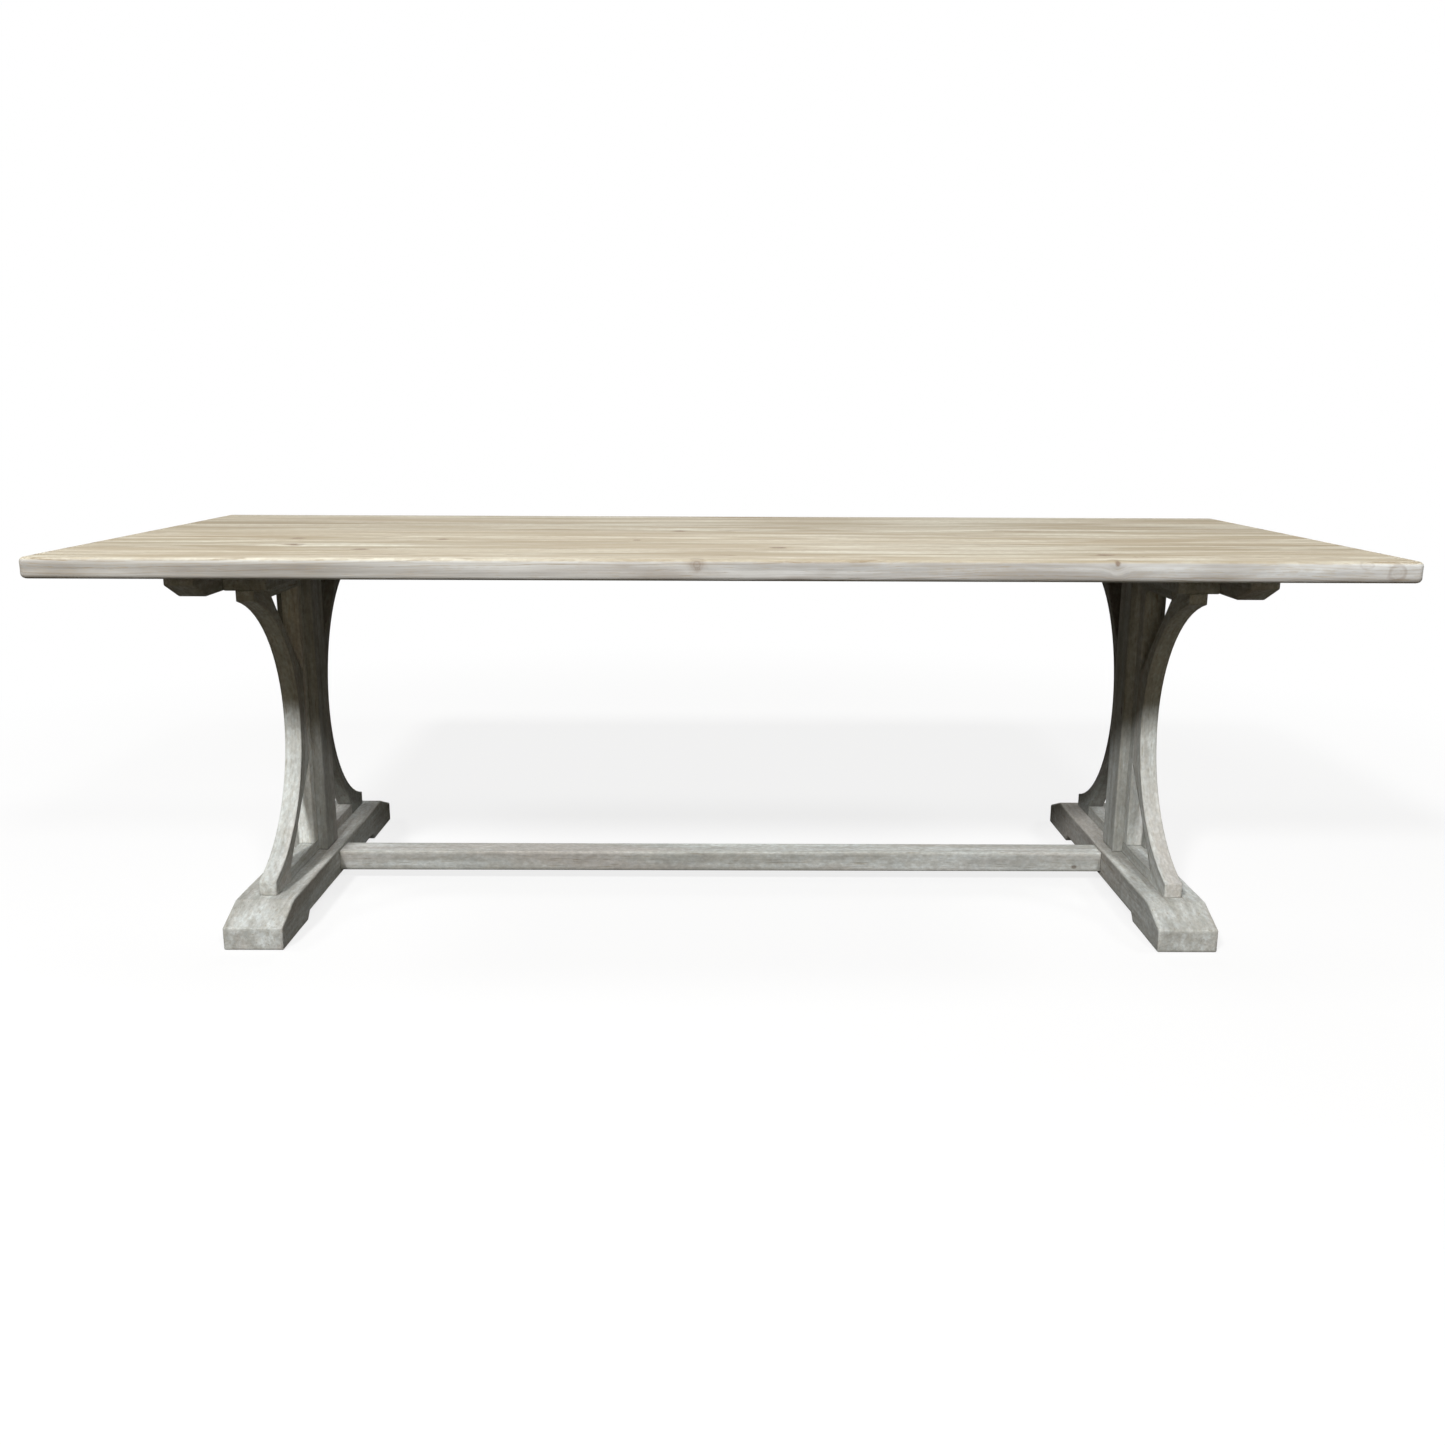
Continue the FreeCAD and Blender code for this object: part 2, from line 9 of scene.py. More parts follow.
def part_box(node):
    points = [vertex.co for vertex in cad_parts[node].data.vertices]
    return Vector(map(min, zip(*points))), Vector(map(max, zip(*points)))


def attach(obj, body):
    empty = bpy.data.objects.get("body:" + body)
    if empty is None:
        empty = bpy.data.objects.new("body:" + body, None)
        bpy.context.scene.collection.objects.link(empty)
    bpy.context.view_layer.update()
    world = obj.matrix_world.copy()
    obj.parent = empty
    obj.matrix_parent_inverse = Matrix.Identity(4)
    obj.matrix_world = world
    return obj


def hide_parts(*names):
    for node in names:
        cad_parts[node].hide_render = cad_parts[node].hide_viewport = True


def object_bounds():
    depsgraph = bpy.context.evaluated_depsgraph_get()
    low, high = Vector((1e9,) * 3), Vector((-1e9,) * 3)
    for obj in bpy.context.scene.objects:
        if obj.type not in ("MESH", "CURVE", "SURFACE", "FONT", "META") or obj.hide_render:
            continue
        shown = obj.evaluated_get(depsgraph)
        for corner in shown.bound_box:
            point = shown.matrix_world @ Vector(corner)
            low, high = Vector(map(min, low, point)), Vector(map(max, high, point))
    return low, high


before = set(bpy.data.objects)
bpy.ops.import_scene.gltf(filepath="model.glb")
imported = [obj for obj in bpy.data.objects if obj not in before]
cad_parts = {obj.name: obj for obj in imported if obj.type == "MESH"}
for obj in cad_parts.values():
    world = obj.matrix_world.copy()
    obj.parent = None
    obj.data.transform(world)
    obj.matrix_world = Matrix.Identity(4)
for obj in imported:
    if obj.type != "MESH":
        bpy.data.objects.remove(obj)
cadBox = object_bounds()
print("frame loaded,", len(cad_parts), "nodes")


# small helpers for building node trees

def feed(tree, node, inputs):
    for key, value in inputs.items():
        if isinstance(value, bpy.types.NodeSocket):
            tree.links.new(value, node.inputs[key])
        else:
            node.inputs[key].default_value = value


def addNode(tree, kind, inputs=None, **settings):
    node = tree.nodes.new(kind)
    for name, value in settings.items():
        setattr(node, name, value)
    feed(tree, node, inputs or {})
    return node


def calc(tree, operation, *values, clamp=False):
    node = addNode(tree, "ShaderNodeMath", dict(enumerate(values)), operation=operation, use_clamp=clamp)
    return node.outputs[0]


def vecCalc(tree, operation, *values, out=0):
    return addNode(tree, "ShaderNodeVectorMath", dict(enumerate(values)), operation=operation).outputs[out]


def scaleBy(tree, vector, factor):
    return addNode(tree, "ShaderNodeVectorMath", {0: vector, "Scale": factor}, operation="SCALE").outputs[0]


def stretch(tree, place, along, across):
    # longer along the grain than across it
    return vecCalc(tree, "MULTIPLY", place, (along, across, across))


def speckle(tree, place, detail=2.0, roughness=0.5, warp=0.0, out="Fac"):
    node = addNode(tree, "ShaderNodeTexNoise", {"Vector": place, "Scale": 1.0, "Detail": detail,
                                                "Roughness": roughness, "Distortion": warp})
    return node.outputs[out]


def rise(tree, value, low, high, start=0.0, end=1.0):
    node = addNode(tree, "ShaderNodeMapRange", {"Value": value, "From Min": low, "From Max": high,
                                                "To Min": start, "To Max": end},
                   interpolation_type="SMOOTHSTEP")
    return node.outputs[0]


def grainNoise(tree, place, band, start=0.0, end=1.0, detail=3.0, roughness=0.5, warp=0.0):
    # a band is the scale along and across the grain, then the limits between which the noise rises
    along, across, low, high = band
    return rise(tree, speckle(tree, stretch(tree, place, along, across), detail, roughness, warp),
                low, high, start, end)


def rimAt(tree, reach, width):
    # a soft ring where reach is 1
    return rise(tree, calc(tree, "ABSOLUTE", calc(tree, "SUBTRACT", reach, 1.0)), 0.0, width, 1.0, 0.0)


def fadeOut(tree, reach, pace):
    return calc(tree, "EXPONENT", calc(tree, "MULTIPLY", calc(tree, "MULTIPLY", reach, reach), pace))


def mixColour(tree, share, first, second, kind="MIX"):
    node = addNode(tree, "ShaderNodeMix", {0: share, 6: first, 7: second}, data_type="RGBA", blend_type=kind)
    return node.outputs[2]


def rgb(colour):
    return (*colour, 1.0)


def shadeBy(tree, colour, level):
    grey = addNode(tree, "ShaderNodeCombineColor", {0: level, 1: level, 2: level}).outputs[0]
    return mixColour(tree, 1.0, colour, grey, "MULTIPLY")


vectorSocket, floatSocket = "NodeSocketVector", "NodeSocketFloat"


def newGroup(name, inputs, outputs):
    tree = bpy.data.node_groups.new(name, "ShaderNodeTree")
    for label, kind, value in inputs:
        socket = tree.interface.new_socket(label, in_out="INPUT", socket_type=kind)
        if value is not None:
            socket.default_value = value
    for label in outputs:
        tree.interface.new_socket(label, in_out="OUTPUT", socket_type=floatSocket)
    return tree, tree.nodes.new("NodeGroupInput").outputs, tree.nodes.new("NodeGroupOutput").inputs


def useGroup(tree, group, inputs):
    node = tree.nodes.new("ShaderNodeGroup")
    node.node_tree = group
    feed(tree, node, inputs)
    return node.outputs


timberGrain = {
    "knotCells": (1.5, 8.0, 8.0),  # cells per metre, with one knot at most in each
    "knotSizes": (0.45, 1.4), "knotShape": (0.72, 1.0, 1.0), "core": (0.7, 1.05), "rimWidth": 0.45,
    "wobbleScale": (70.0, 90.0), "wobble": (0.5, 0.75), "farAway": 100.0,
    "pullPace": -0.16, "swing": (0.0, 0.9, 0.9), "bendScale": (1.3, 4.0), "bend": (0.0, 0.05, 0.05),
    "taper": 0.01, "wanderScale": (5.0, 30.0), "wander": 1.4,
    "lateStart": (0.35, 0.9), "lateEnd": (0.92, 1.0), "palestRing": 0.35,
    "fibre": (16.0, 480.0, 0.3, 0.7), "streak": (2.2, 17.0, 0.3, 0.7), "pores": (22.0, 330.0, 0.62, 0.74),
}


def makeTimberFigure():
    # growth rings, fibres, streaks and scattered knots of sawn timber; Place runs x along the grain
    s = timberGrain
    tree, given, put = newGroup("timberFigure", [
        ("Place", vectorSocket, None), ("Ring Width", floatSocket, 0.005),
        ("Knot Size", floatSocket, 0.01), ("Knot Share", floatSocket, 0.3)],
        ["Late", "Fibre", "Streak", "Pores", "Knot", "Rim"])
    spread = vecCalc(tree, "MULTIPLY", given["Place"], s["knotCells"])
    cell = addNode(tree, "ShaderNodeTexVoronoi", {"Vector": spread, "Scale": 1.0}, feature="F1")
    away = vecCalc(tree, "SUBTRACT", cell.outputs["Position"], spread)
    away = vecCalc(tree, "DIVIDE", away, s["knotCells"])
    chance = addNode(tree, "ShaderNodeSeparateColor", {0: cell.outputs["Color"]}).outputs
    radius = calc(tree, "MULTIPLY", given["Knot Size"], rise(tree, chance[1], 0.0, 1.0, *s["knotSizes"]))
    distance = vecCalc(tree, "LENGTH", vecCalc(tree, "MULTIPLY", away, s["knotShape"]), out=1)
    wobble = speckle(tree, stretch(tree, given["Place"], *s["wobbleScale"]))
    wobble = calc(tree, "MULTIPLY_ADD", wobble, *s["wobble"])
    reach = calc(tree, "MULTIPLY", calc(tree, "DIVIDE", distance, radius), wobble)
    absent = calc(tree, "GREATER_THAN", chance[0], given["Knot Share"])
    reach = calc(tree, "MULTIPLY_ADD", absent, s["farAway"], reach)
    tree.links.new(rise(tree, reach, *s["core"], 1.0, 0.0), put["Knot"])
    tree.links.new(rimAt(tree, reach, s["rimWidth"]), put["Rim"])
    # the grain swings round each knot
    swing = scaleBy(tree, vecCalc(tree, "MULTIPLY", away, s["swing"]), fadeOut(tree, reach, s["pullPace"]))
    place = vecCalc(tree, "ADD", given["Place"], swing)
    bend = speckle(tree, stretch(tree, place, *s["bendScale"]), detail=3.0, out="Color")
    bend = vecCalc(tree, "MULTIPLY", vecCalc(tree, "SUBTRACT", bend, (0.5, 0.5, 0.5)), s["bend"])
    aside = vecCalc(tree, "MULTIPLY", vecCalc(tree, "ADD", place, bend), (0.0, 1.0, 1.0))
    parts = addNode(tree, "ShaderNodeSeparateXYZ", {0: place}).outputs
    ray = calc(tree, "MULTIPLY_ADD", parts[0], s["taper"], vecCalc(tree, "LENGTH", aside, out=1))
    turn = calc(tree, "DIVIDE", ray, given["Ring Width"])
    wander = speckle(tree, stretch(tree, place, *s["wanderScale"]))
    turn = calc(tree, "MULTIPLY_ADD", wander, s["wander"], turn)
    phase = calc(tree, "FRACT", turn)
    ringShade = addNode(tree, "ShaderNodeTexWhiteNoise", {"W": calc(tree, "FLOOR", turn)},
                        noise_dimensions="1D").outputs["Value"]
    late = calc(tree, "SUBTRACT", rise(tree, phase, *s["lateStart"]), rise(tree, phase, *s["lateEnd"]))
    late = calc(tree, "MULTIPLY", late, rise(tree, ringShade, 0.0, 1.0, s["palestRing"], 1.0))
    tree.links.new(late, put["Late"])
    tree.links.new(grainNoise(tree, place, s["fibre"], roughness=0.6), put["Fibre"])
    tree.links.new(grainNoise(tree, place, s["streak"], detail=4.0, roughness=0.55, warp=0.4), put["Streak"])
    tree.links.new(grainNoise(tree, place, s["pores"], detail=1.0), put["Pores"])
    return tree


washLay = {"brushScale": (6.0, 75.0), "blotchWeight": 1.6, "losses": {"Pores": -0.4, "Knot": -0.5},
           "rub": (60.0, 110.0, 0.42, 0.62), "rubGain": 0.25}


def makeLimeWash():
    # how thickly the white wash lies: thin on late wood, pores and knots, brushed along the grain
    s = washLay
    tree, given, put = newGroup("limeWash", [
        ("Place", vectorSocket, None), ("Late", floatSocket, 0.0), ("Pores", floatSocket, 0.0),
        ("Knot", floatSocket, 0.0), ("Edge", floatSocket, 0.0), ("Cover", floatSocket, 0.6),
        ("Patchy", floatSocket, 0.4), ("Patch Scale", vectorSocket, None), ("Ring Loss", floatSocket, 0.2)],
        ["Wash"])
    brush = speckle(tree, stretch(tree, given["Place"], *s["brushScale"]), detail=3.0, roughness=0.6)
    patches = vecCalc(tree, "MULTIPLY", given["Place"], given["Patch Scale"])
    blotch = speckle(tree, patches, detail=4.0, roughness=0.6, warp=0.4)
    wash = calc(tree, "MULTIPLY_ADD", calc(tree, "SUBTRACT", brush, 0.5), given["Patchy"], given["Cover"])
    patchy = calc(tree, "MULTIPLY", given["Patchy"], s["blotchWeight"])
    wash = calc(tree, "MULTIPLY_ADD", calc(tree, "SUBTRACT", blotch, 0.5), patchy, wash)
    wash = calc(tree, "SUBTRACT", wash, calc(tree, "MULTIPLY", given["Late"], given["Ring Loss"]))
    for name, loss in s["losses"].items():
        wash = calc(tree, "MULTIPLY_ADD", given[name], loss, wash)
    rub = calc(tree, "MULTIPLY", given["Edge"], grainNoise(tree, given["Place"], s["rub"]))
    tree.links.new(calc(tree, "MULTIPLY_ADD", rub, s["rubGain"], wash, clamp=True), put["Wash"])
    return tree


knotForm = {"ringPace": 17.0, "ringDepth": (0.16, 0.84), "core": (0.5, 1.1), "rimWidth": 0.4,
            "wobbleScale": (90.0, 90.0), "wobble": (0.7, 0.65), "pullPace": -0.14, "swing": (0.0, 0.9, 0.9)}


def makeSingleKnot():
    # one knot at a known place, as an uneven ellipsoid with year rings, a dark rim and a pull on the grain
    s = knotForm
    tree, given, put = newGroup("singleKnot", [
        ("Place", vectorSocket, None), ("Centre", vectorSocket, None), ("Reach", vectorSocket, None),
        ("Wobble", floatSocket, 1.0)], ["Core", "Halo", "Pull"])
    away = vecCalc(tree, "DIVIDE", vecCalc(tree, "SUBTRACT", given["Place"], given["Centre"]), given["Reach"])
    reach = calc(tree, "MULTIPLY", vecCalc(tree, "LENGTH", away, out=1), given["Wobble"])
    rings = calc(tree, "SINE", calc(tree, "MULTIPLY", reach, s["ringPace"]))
    rings = calc(tree, "MULTIPLY_ADD", rings, *s["ringDepth"])
    tree.links.new(calc(tree, "MULTIPLY", rise(tree, reach, *s["core"], 1.0, 0.0), rings), put["Core"])
    tree.links.new(rimAt(tree, reach, s["rimWidth"]), put["Halo"])
    tree.links.new(fadeOut(tree, reach, s["pullPace"]), put["Pull"])
    return tree


def addKnots(tree, here, grain, knots):
    # puts knots at known places and swings the grain round them, for grain along x
    s = knotForm
    wobble = speckle(tree, stretch(tree, here, *s["wobbleScale"]))
    wobble = calc(tree, "MULTIPLY_ADD", wobble, *s["wobble"])
    core, halo, place = 0.0, 0.0, grain
    for centre, reach in knots:
        made = useGroup(tree, singleKnot, {"Place": here, "Centre": centre, "Reach": reach, "Wobble": wobble})
        core = calc(tree, "MAXIMUM", core, made["Core"])
        halo = calc(tree, "MAXIMUM", halo, made["Halo"])
        away = vecCalc(tree, "MULTIPLY", vecCalc(tree, "SUBTRACT", centre, here), s["swing"])
        place = vecCalc(tree, "ADD", place, scaleBy(tree, away, made["Pull"]))
    return core, halo, place, wobble


timberFigure, limeWash, singleKnot = makeTimberFigure(), makeLimeWash(), makeSingleKnot()


def newMaterial(name):
    material = bpy.data.materials.new(name)
    material.use_nodes = True
    tree = material.node_tree
    return material, tree, tree.nodes["Principled BSDF"]


def objectPlace(tree):
    return tree.nodes.new("ShaderNodeTexCoord").outputs["Object"]


def boardInfo(tree):
    # what a board's points carry: the place in the tree, the rubbed arrises and the board's tone, which is
    # painted shade on the posts and rear braces and painted light on the left stiles and the stretcher's top
    carried = (("grain", "Vector"), ("edge", "Fac"), ("tone", "Fac"))
    return [addNode(tree, "ShaderNodeAttribute", attribute_name=name).outputs[out] for name, out in carried]


def mixWood(tree, s, late, fibre, lines, rim, knot):
    # the bare board under the wash
    depth = calc(tree, "MULTIPLY_ADD", late, s["lateDepth"], calc(tree, "MULTIPLY", fibre, s["fibreDepth"]))
    depth = calc(tree, "MULTIPLY_ADD", lines, s["lineDepth"], depth, clamp=True)
    wood = mixColour(tree, depth, rgb(s["paleWood"]), rgb(s["darkWood"]))
    wood = mixColour(tree, calc(tree, "MULTIPLY", rim, s["rimDepth"]), wood, rgb(s["darkWood"]))
    return mixColour(tree, knot, wood, rgb(s["knotWood"]))


def addRelief(tree, shader, s, values):
    # raises the surface by each value times its weight
    height = 0.0
    for value, weight in zip(values, s["relief"]):
        height = calc(tree, "MULTIPLY_ADD", value, weight, height)
    bump = addNode(tree, "ShaderNodeBump", {"Strength": s["bump"], "Distance": s["bumpDepth"],
                                            "Height": height})
    tree.links.new(bump.outputs[0], shader.inputs["Normal"])


topFinish = {
    "paleWood": (0.51, 0.435, 0.31), "darkWood": (0.28, 0.205, 0.125), "knotWood": (0.17, 0.105, 0.065),
    "wash": (0.805, 0.788, 0.682), "washShade": (0.42, 0.362, 0.262), "tan": (0.59, 0.518, 0.395),
    "edgeWash": (0.725, 0.72, 0.698), "edgeShade": (0.405, 0.374, 0.341), "redKnot": (0.235, 0.175, 0.13),
    "dimEnd": (0.81, 0.81, 0.795), "paleEnd": (1.12, 1.165, 1.21), "drift": (-1.0, 0.75),
    "cover": 0.66, "edgeCover": 0.3, "patchy": 0.6, "patchScale": (2.6, 24.0, 24.0), "ringLoss": 0.42,
    "ringWidth": 0.0052, "knotSize": 0.011, "knotShare": 0.16, "coreShare": 0.4,
    "lateDepth": 0.65, "fibreDepth": 0.25, "lineDepth": 0.3, "rimDepth": 0.6, "lineWear": -0.35,
    "lines": (1.1, 46.0, 0.34, 0.66), "tanBand": (0.9, 7.0, 0.42, 0.7), "tanShare": 0.5,
    "sideLines": (2.2, 110.0, 0.34, 0.66), "sideShades": (0.88, 1.09),
    # the scuff band is painted shade along the top's rear arris
    "rearArrisShade": (3.0, 20.0, 0.35, 0.65), "rearShadeShares": (0.1, 0.6),
    "faceLevel": cadBox[1][2], "arris": (0.0065, 0.0018), "rear": (0.480, 0.506),
    "roughness": (0.58, 0.74), "specular": 0.09, "bump": 0.5, "bumpDepth": 0.0006,
    "relief": (0.25, 0.35, -0.6, -0.5),  # fibre, late wood, pores, knots
    "knots": [  # centre and reach
        ((-0.852, -0.128, 0.762), (0.018, 0.014, 0.02)), ((-0.814, -0.254, 0.762), (0.022, 0.012, 0.02)),
        ((-0.669, -0.347, 0.762), (0.022, 0.012, 0.02)), ((-0.559, -0.138, 0.762), (0.013, 0.011, 0.02)),
        ((-0.170, -0.144, 0.762), (0.010, 0.010, 0.02)), ((-0.091, 0.072, 0.762), (0.014, 0.013, 0.02)),
        ((0.105, -0.289, 0.762), (0.018, 0.013, 0.02)), ((0.690, -0.407, 0.762), (0.019, 0.012, 0.02)),
        ((0.684, -0.505, 0.757), (0.006, 0.014, 0.007))],
    "redKnots": [  # centre, reach, how red the core and the rim are
        ((-0.045, -0.502, 0.753), (0.014, 0.03, 0.013), 0.6, 0.15),
        ((-0.044, -0.507, 0.746), (0.008, 0.02, 0.005), 0.65, 0.2),
        ((1.116, -0.504, 0.756), (0.012, 0.02, 0.006), 0.12, 0.2),
        ((1.170, -0.507, 0.7425), (0.0145, 0.02, 0.0135), 0.16, 0.34),
        ((0.684, -0.507, 0.7565), (0.0036, 0.012, 0.0042), 0.8, 0.0)],
}


def makeTopWood():
    s = topFinish
    material, tree, shader = newMaterial("whitewashedTop")
    grain, edge, tone = boardInfo(tree)
    here = objectPlace(tree)
    core, halo, grain, wobble = addKnots(tree, here, grain, s["knots"])
    figure = useGroup(tree, timberFigure, {"Place": grain, "Ring Width": s["ringWidth"],
                                           "Knot Size": s["knotSize"], "Knot Share": s["knotShare"]})
    knot = calc(tree, "MAXIMUM", core, figure["Knot"])
    rim = calc(tree, "MAXIMUM", halo, figure["Rim"])
    blush = 0.0
    for centre, reach, coreShare, rimShare in s["redKnots"]:
        made = useGroup(tree, singleKnot, {"Place": here, "Centre": centre, "Reach": reach, "Wobble": wobble})
        stain = calc(tree, "MULTIPLY", made["Core"], coreShare)
        stain = calc(tree, "MULTIPLY_ADD", made["Halo"], rimShare, stain, clamp=True)
        blush = calc(tree, "MAXIMUM", blush, stain)
    wash = useGroup(tree, limeWash, {"Place": grain, "Late": figure["Late"], "Pores": figure["Pores"],
                                     "Knot": knot, "Edge": edge, "Cover": s["cover"], "Patchy": s["patchy"],
                                     "Patch Scale": s["patchScale"], "Ring Loss": s["ringLoss"]})["Wash"]
    lines = grainNoise(tree, grain, s["lines"])
    wood = mixWood(tree, s, figure["Late"], figure["Fibre"], lines, rim, knot)
    worn = calc(tree, "MULTIPLY_ADD", lines, s["lineWear"], figure["Streak"], clamp=True)
    paint = mixColour(tree, worn, rgb(s["washShade"]), rgb(s["wash"]))
    paint = mixColour(tree, grainNoise(tree, grain, s["tanBand"], 0.0, s["tanShare"]), paint, rgb(s["tan"]))
    # the flanks are greyer than the face, and paler towards one end
    parts = addNode(tree, "ShaderNodeSeparateXYZ", {0: here}).outputs
    flank = rise(tree, parts[2], *(s["faceLevel"] - reach for reach in s["arris"]), 1.0, 0.0)
    sidePaint = mixColour(tree, worn, rgb(s["edgeShade"]), rgb(s["edgeWash"]))
    sidePaint = shadeBy(tree, sidePaint, grainNoise(tree, grain, s["sideLines"], *s["sideShades"]))
    drift = mixColour(tree, rise(tree, parts[0], *s["drift"]), rgb(s["dimEnd"]), rgb(s["paleEnd"]))
    sidePaint = mixColour(tree, 1.0, sidePaint, drift, "MULTIPLY")
    paint = mixColour(tree, flank, paint, sidePaint)
    cover = calc(tree, "MULTIPLY_ADD", flank, s["edgeCover"], wash, clamp=True)
    colour = mixColour(tree, cover, wood, paint)
    colour = mixColour(tree, calc(tree, "MULTIPLY", core, s["coreShare"]), colour, rgb(s["knotWood"]))
    colour = mixColour(tree, blush, colour, rgb(s["redKnot"]))
    # painted shade on the rear arris of the top
    rearArrisShade = grainNoise(tree, grain, s["rearArrisShade"], *s["rearShadeShares"])
    rearArrisShade = calc(tree, "MULTIPLY", rearArrisShade, rise(tree, parts[1], *s["rear"]))
    colour = mixColour(tree, rearArrisShade, colour, rgb(s["darkWood"]))  # painted shade, streaked along the grain, on the rear arris that faces away from the light
    # the tone holds the board's own shade, and on some pieces painted shade or painted light
    colour = shadeBy(tree, colour, calc(tree, "ADD", tone, 1.0))
    tree.links.new(colour, shader.inputs["Base Color"])
    tree.links.new(rise(tree, wash, 0.0, 1.0, *s["roughness"]), shader.inputs["Roughness"])
    addRelief(tree, shader, s, (figure["Fibre"], figure["Late"], figure["Pores"], knot))
    shader.inputs["Specular IOR Level"].default_value = s["specular"]
    return material


baseFinish = {
    "paleWood": (0.42, 0.375, 0.30), "darkWood": (0.20, 0.17, 0.125), "knotWood": (0.12, 0.085, 0.06),
    "wash": (0.675, 0.71, 0.70), "washShade": (0.465, 0.475, 0.45), "blush": (0.51, 0.475, 0.445),
    "cover": 0.74, "patchy": 0.27, "patchScale": (5.0, 11.0, 11.0), "ringLoss": 0.22,
    "ringWidth": 0.0065, "ringShare": 0.4, "knotSize": 0.008, "knotShare": 0.08,
    "lateDepth": 0.5, "fibreDepth": 0.35, "lineDepth": 0.35, "rimDepth": 0.5,
    "lines": (3.0, 70.0, 0.34, 0.66), "bands": (1.7, 48.0, 0.36, 0.64),
    "streakWear": (0.6, 0.1), "bandWear": 0.5, "lineWear": -0.45,
    "blushBand": (1.6, 14.0, 0.48, 0.68), "blushShare": 0.6,
    "clouds": (16.0, 24.0, 0.3, 0.7), "cloudShades": (0.92, 1.06),
    "grit": (110.0, 190.0, 0.28, 0.72), "gritShades": (0.86, 1.08),
    "roughness": (0.6, 0.8), "specular": 0.03, "bump": 0.55, "bumpDepth": 0.0007,
    "relief": (0.3, 0.35, -0.6, -0.5),  # fibre, late wood, pores, knots
    "knots": [((0.781, -0.030, 0.036), (0.008, 0.02, 0.006)), ((0.861, -0.027, 0.390), (0.01, 0.006, 0.012))],
}


def makeBaseWood():
    s = baseFinish
    material, tree, shader = newMaterial("greyWashedBase")
    grain, edge, tone = boardInfo(tree)
    figure = useGroup(tree, timberFigure, {"Place": grain, "Ring Width": s["ringWidth"],
                                           "Knot Size": s["knotSize"], "Knot Share": s["knotShare"]})
    core, halo = addKnots(tree, objectPlace(tree), grain, s["knots"])[:2]
    knot = calc(tree, "MAXIMUM", core, figure["Knot"])
    rim = calc(tree, "MAXIMUM", halo, figure["Rim"])
    late = calc(tree, "MULTIPLY", figure["Late"], s["ringShare"])
    wash = useGroup(tree, limeWash, {"Place": grain, "Late": late, "Pores": figure["Pores"],
                                     "Knot": knot, "Edge": edge, "Cover": s["cover"], "Patchy": s["patchy"],
                                     "Patch Scale": s["patchScale"], "Ring Loss": s["ringLoss"]})["Wash"]
    lines = grainNoise(tree, grain, s["lines"])
    wood = mixWood(tree, s, late, figure["Fibre"], lines, rim, knot)
    worn = calc(tree, "MULTIPLY_ADD", figure["Streak"], *s["streakWear"])
    worn = calc(tree, "MULTIPLY_ADD", grainNoise(tree, grain, s["bands"]), s["bandWear"], worn)
    worn = calc(tree, "MULTIPLY_ADD", lines, s["lineWear"], worn, clamp=True)
    paint = mixColour(tree, worn, rgb(s["washShade"]), rgb(s["wash"]))
    blush = grainNoise(tree, grain, s["blushBand"], 0.0, s["blushShare"])
    paint = mixColour(tree, blush, paint, rgb(s["blush"]))
    colour = mixColour(tree, wash, wood, paint)
    clouds = grainNoise(tree, grain, s["clouds"], *s["cloudShades"], detail=4.0, roughness=0.55)
    grit = grainNoise(tree, grain, s["grit"], *s["gritShades"], roughness=0.6)
    # the tone holds each piece's own shade, and on the posts, rear braces, left stiles and stretcher top it
    # is painted shade or painted light
    for level in (clouds, grit, calc(tree, "ADD", tone, 1.0)):
        colour = shadeBy(tree, colour, level)
    tree.links.new(colour, shader.inputs["Base Color"])
    tree.links.new(rise(tree, wash, 0.0, 1.0, *s["roughness"]), shader.inputs["Roughness"])
    addRelief(tree, shader, s, (figure["Fibre"], late, figure["Pores"], knot))
    shader.inputs["Specular IOR Level"].default_value = s["specular"]
    return material


bareFinish = {"pale": (0.62, 0.46, 0.28), "dark": (0.38, 0.25, 0.13), "ringWidth": 0.0016, "lateDepth": 0.5,
              "fibreDepth": 0.4, "roughness": (0.55, 0.7), "relief": (1.0,), "bump": 0.4, "bumpDepth": 0.0003}


def makeBareWood():
    # unwashed dowels, pegs and loose tongues
    s = bareFinish
    material, tree, shader = newMaterial("barePegWood")
    figure = useGroup(tree, timberFigure, {"Place": objectPlace(tree), "Ring Width": s["ringWidth"],
                                           "Knot Share": 0.0})
    depth = calc(tree, "MULTIPLY", figure["Fibre"], s["fibreDepth"])
    depth = calc(tree, "MULTIPLY_ADD", figure["Late"], s["lateDepth"], depth)
    tree.links.new(mixColour(tree, depth, rgb(s["pale"]), rgb(s["dark"])), shader.inputs["Base Color"])
    tree.links.new(rise(tree, figure["Fibre"], 0.0, 1.0, *s["roughness"]), shader.inputs["Roughness"])
    addRelief(tree, shader, s, (figure["Fibre"],))
    return material


zincFinish = {"dull": (0.42, 0.43, 0.44), "bright": (0.66, 0.67, 0.68),
              "spangleScale": 420.0, "spangleShare": 0.35,
              "smearScale": (160.0, 160.0), "smearShare": 0.6, "smearLimits": (0.3, 0.7),
              "roughness": (0.32, 0.55), "relief": (1.0,), "bump": 0.25, "bumpDepth": 0.0001}


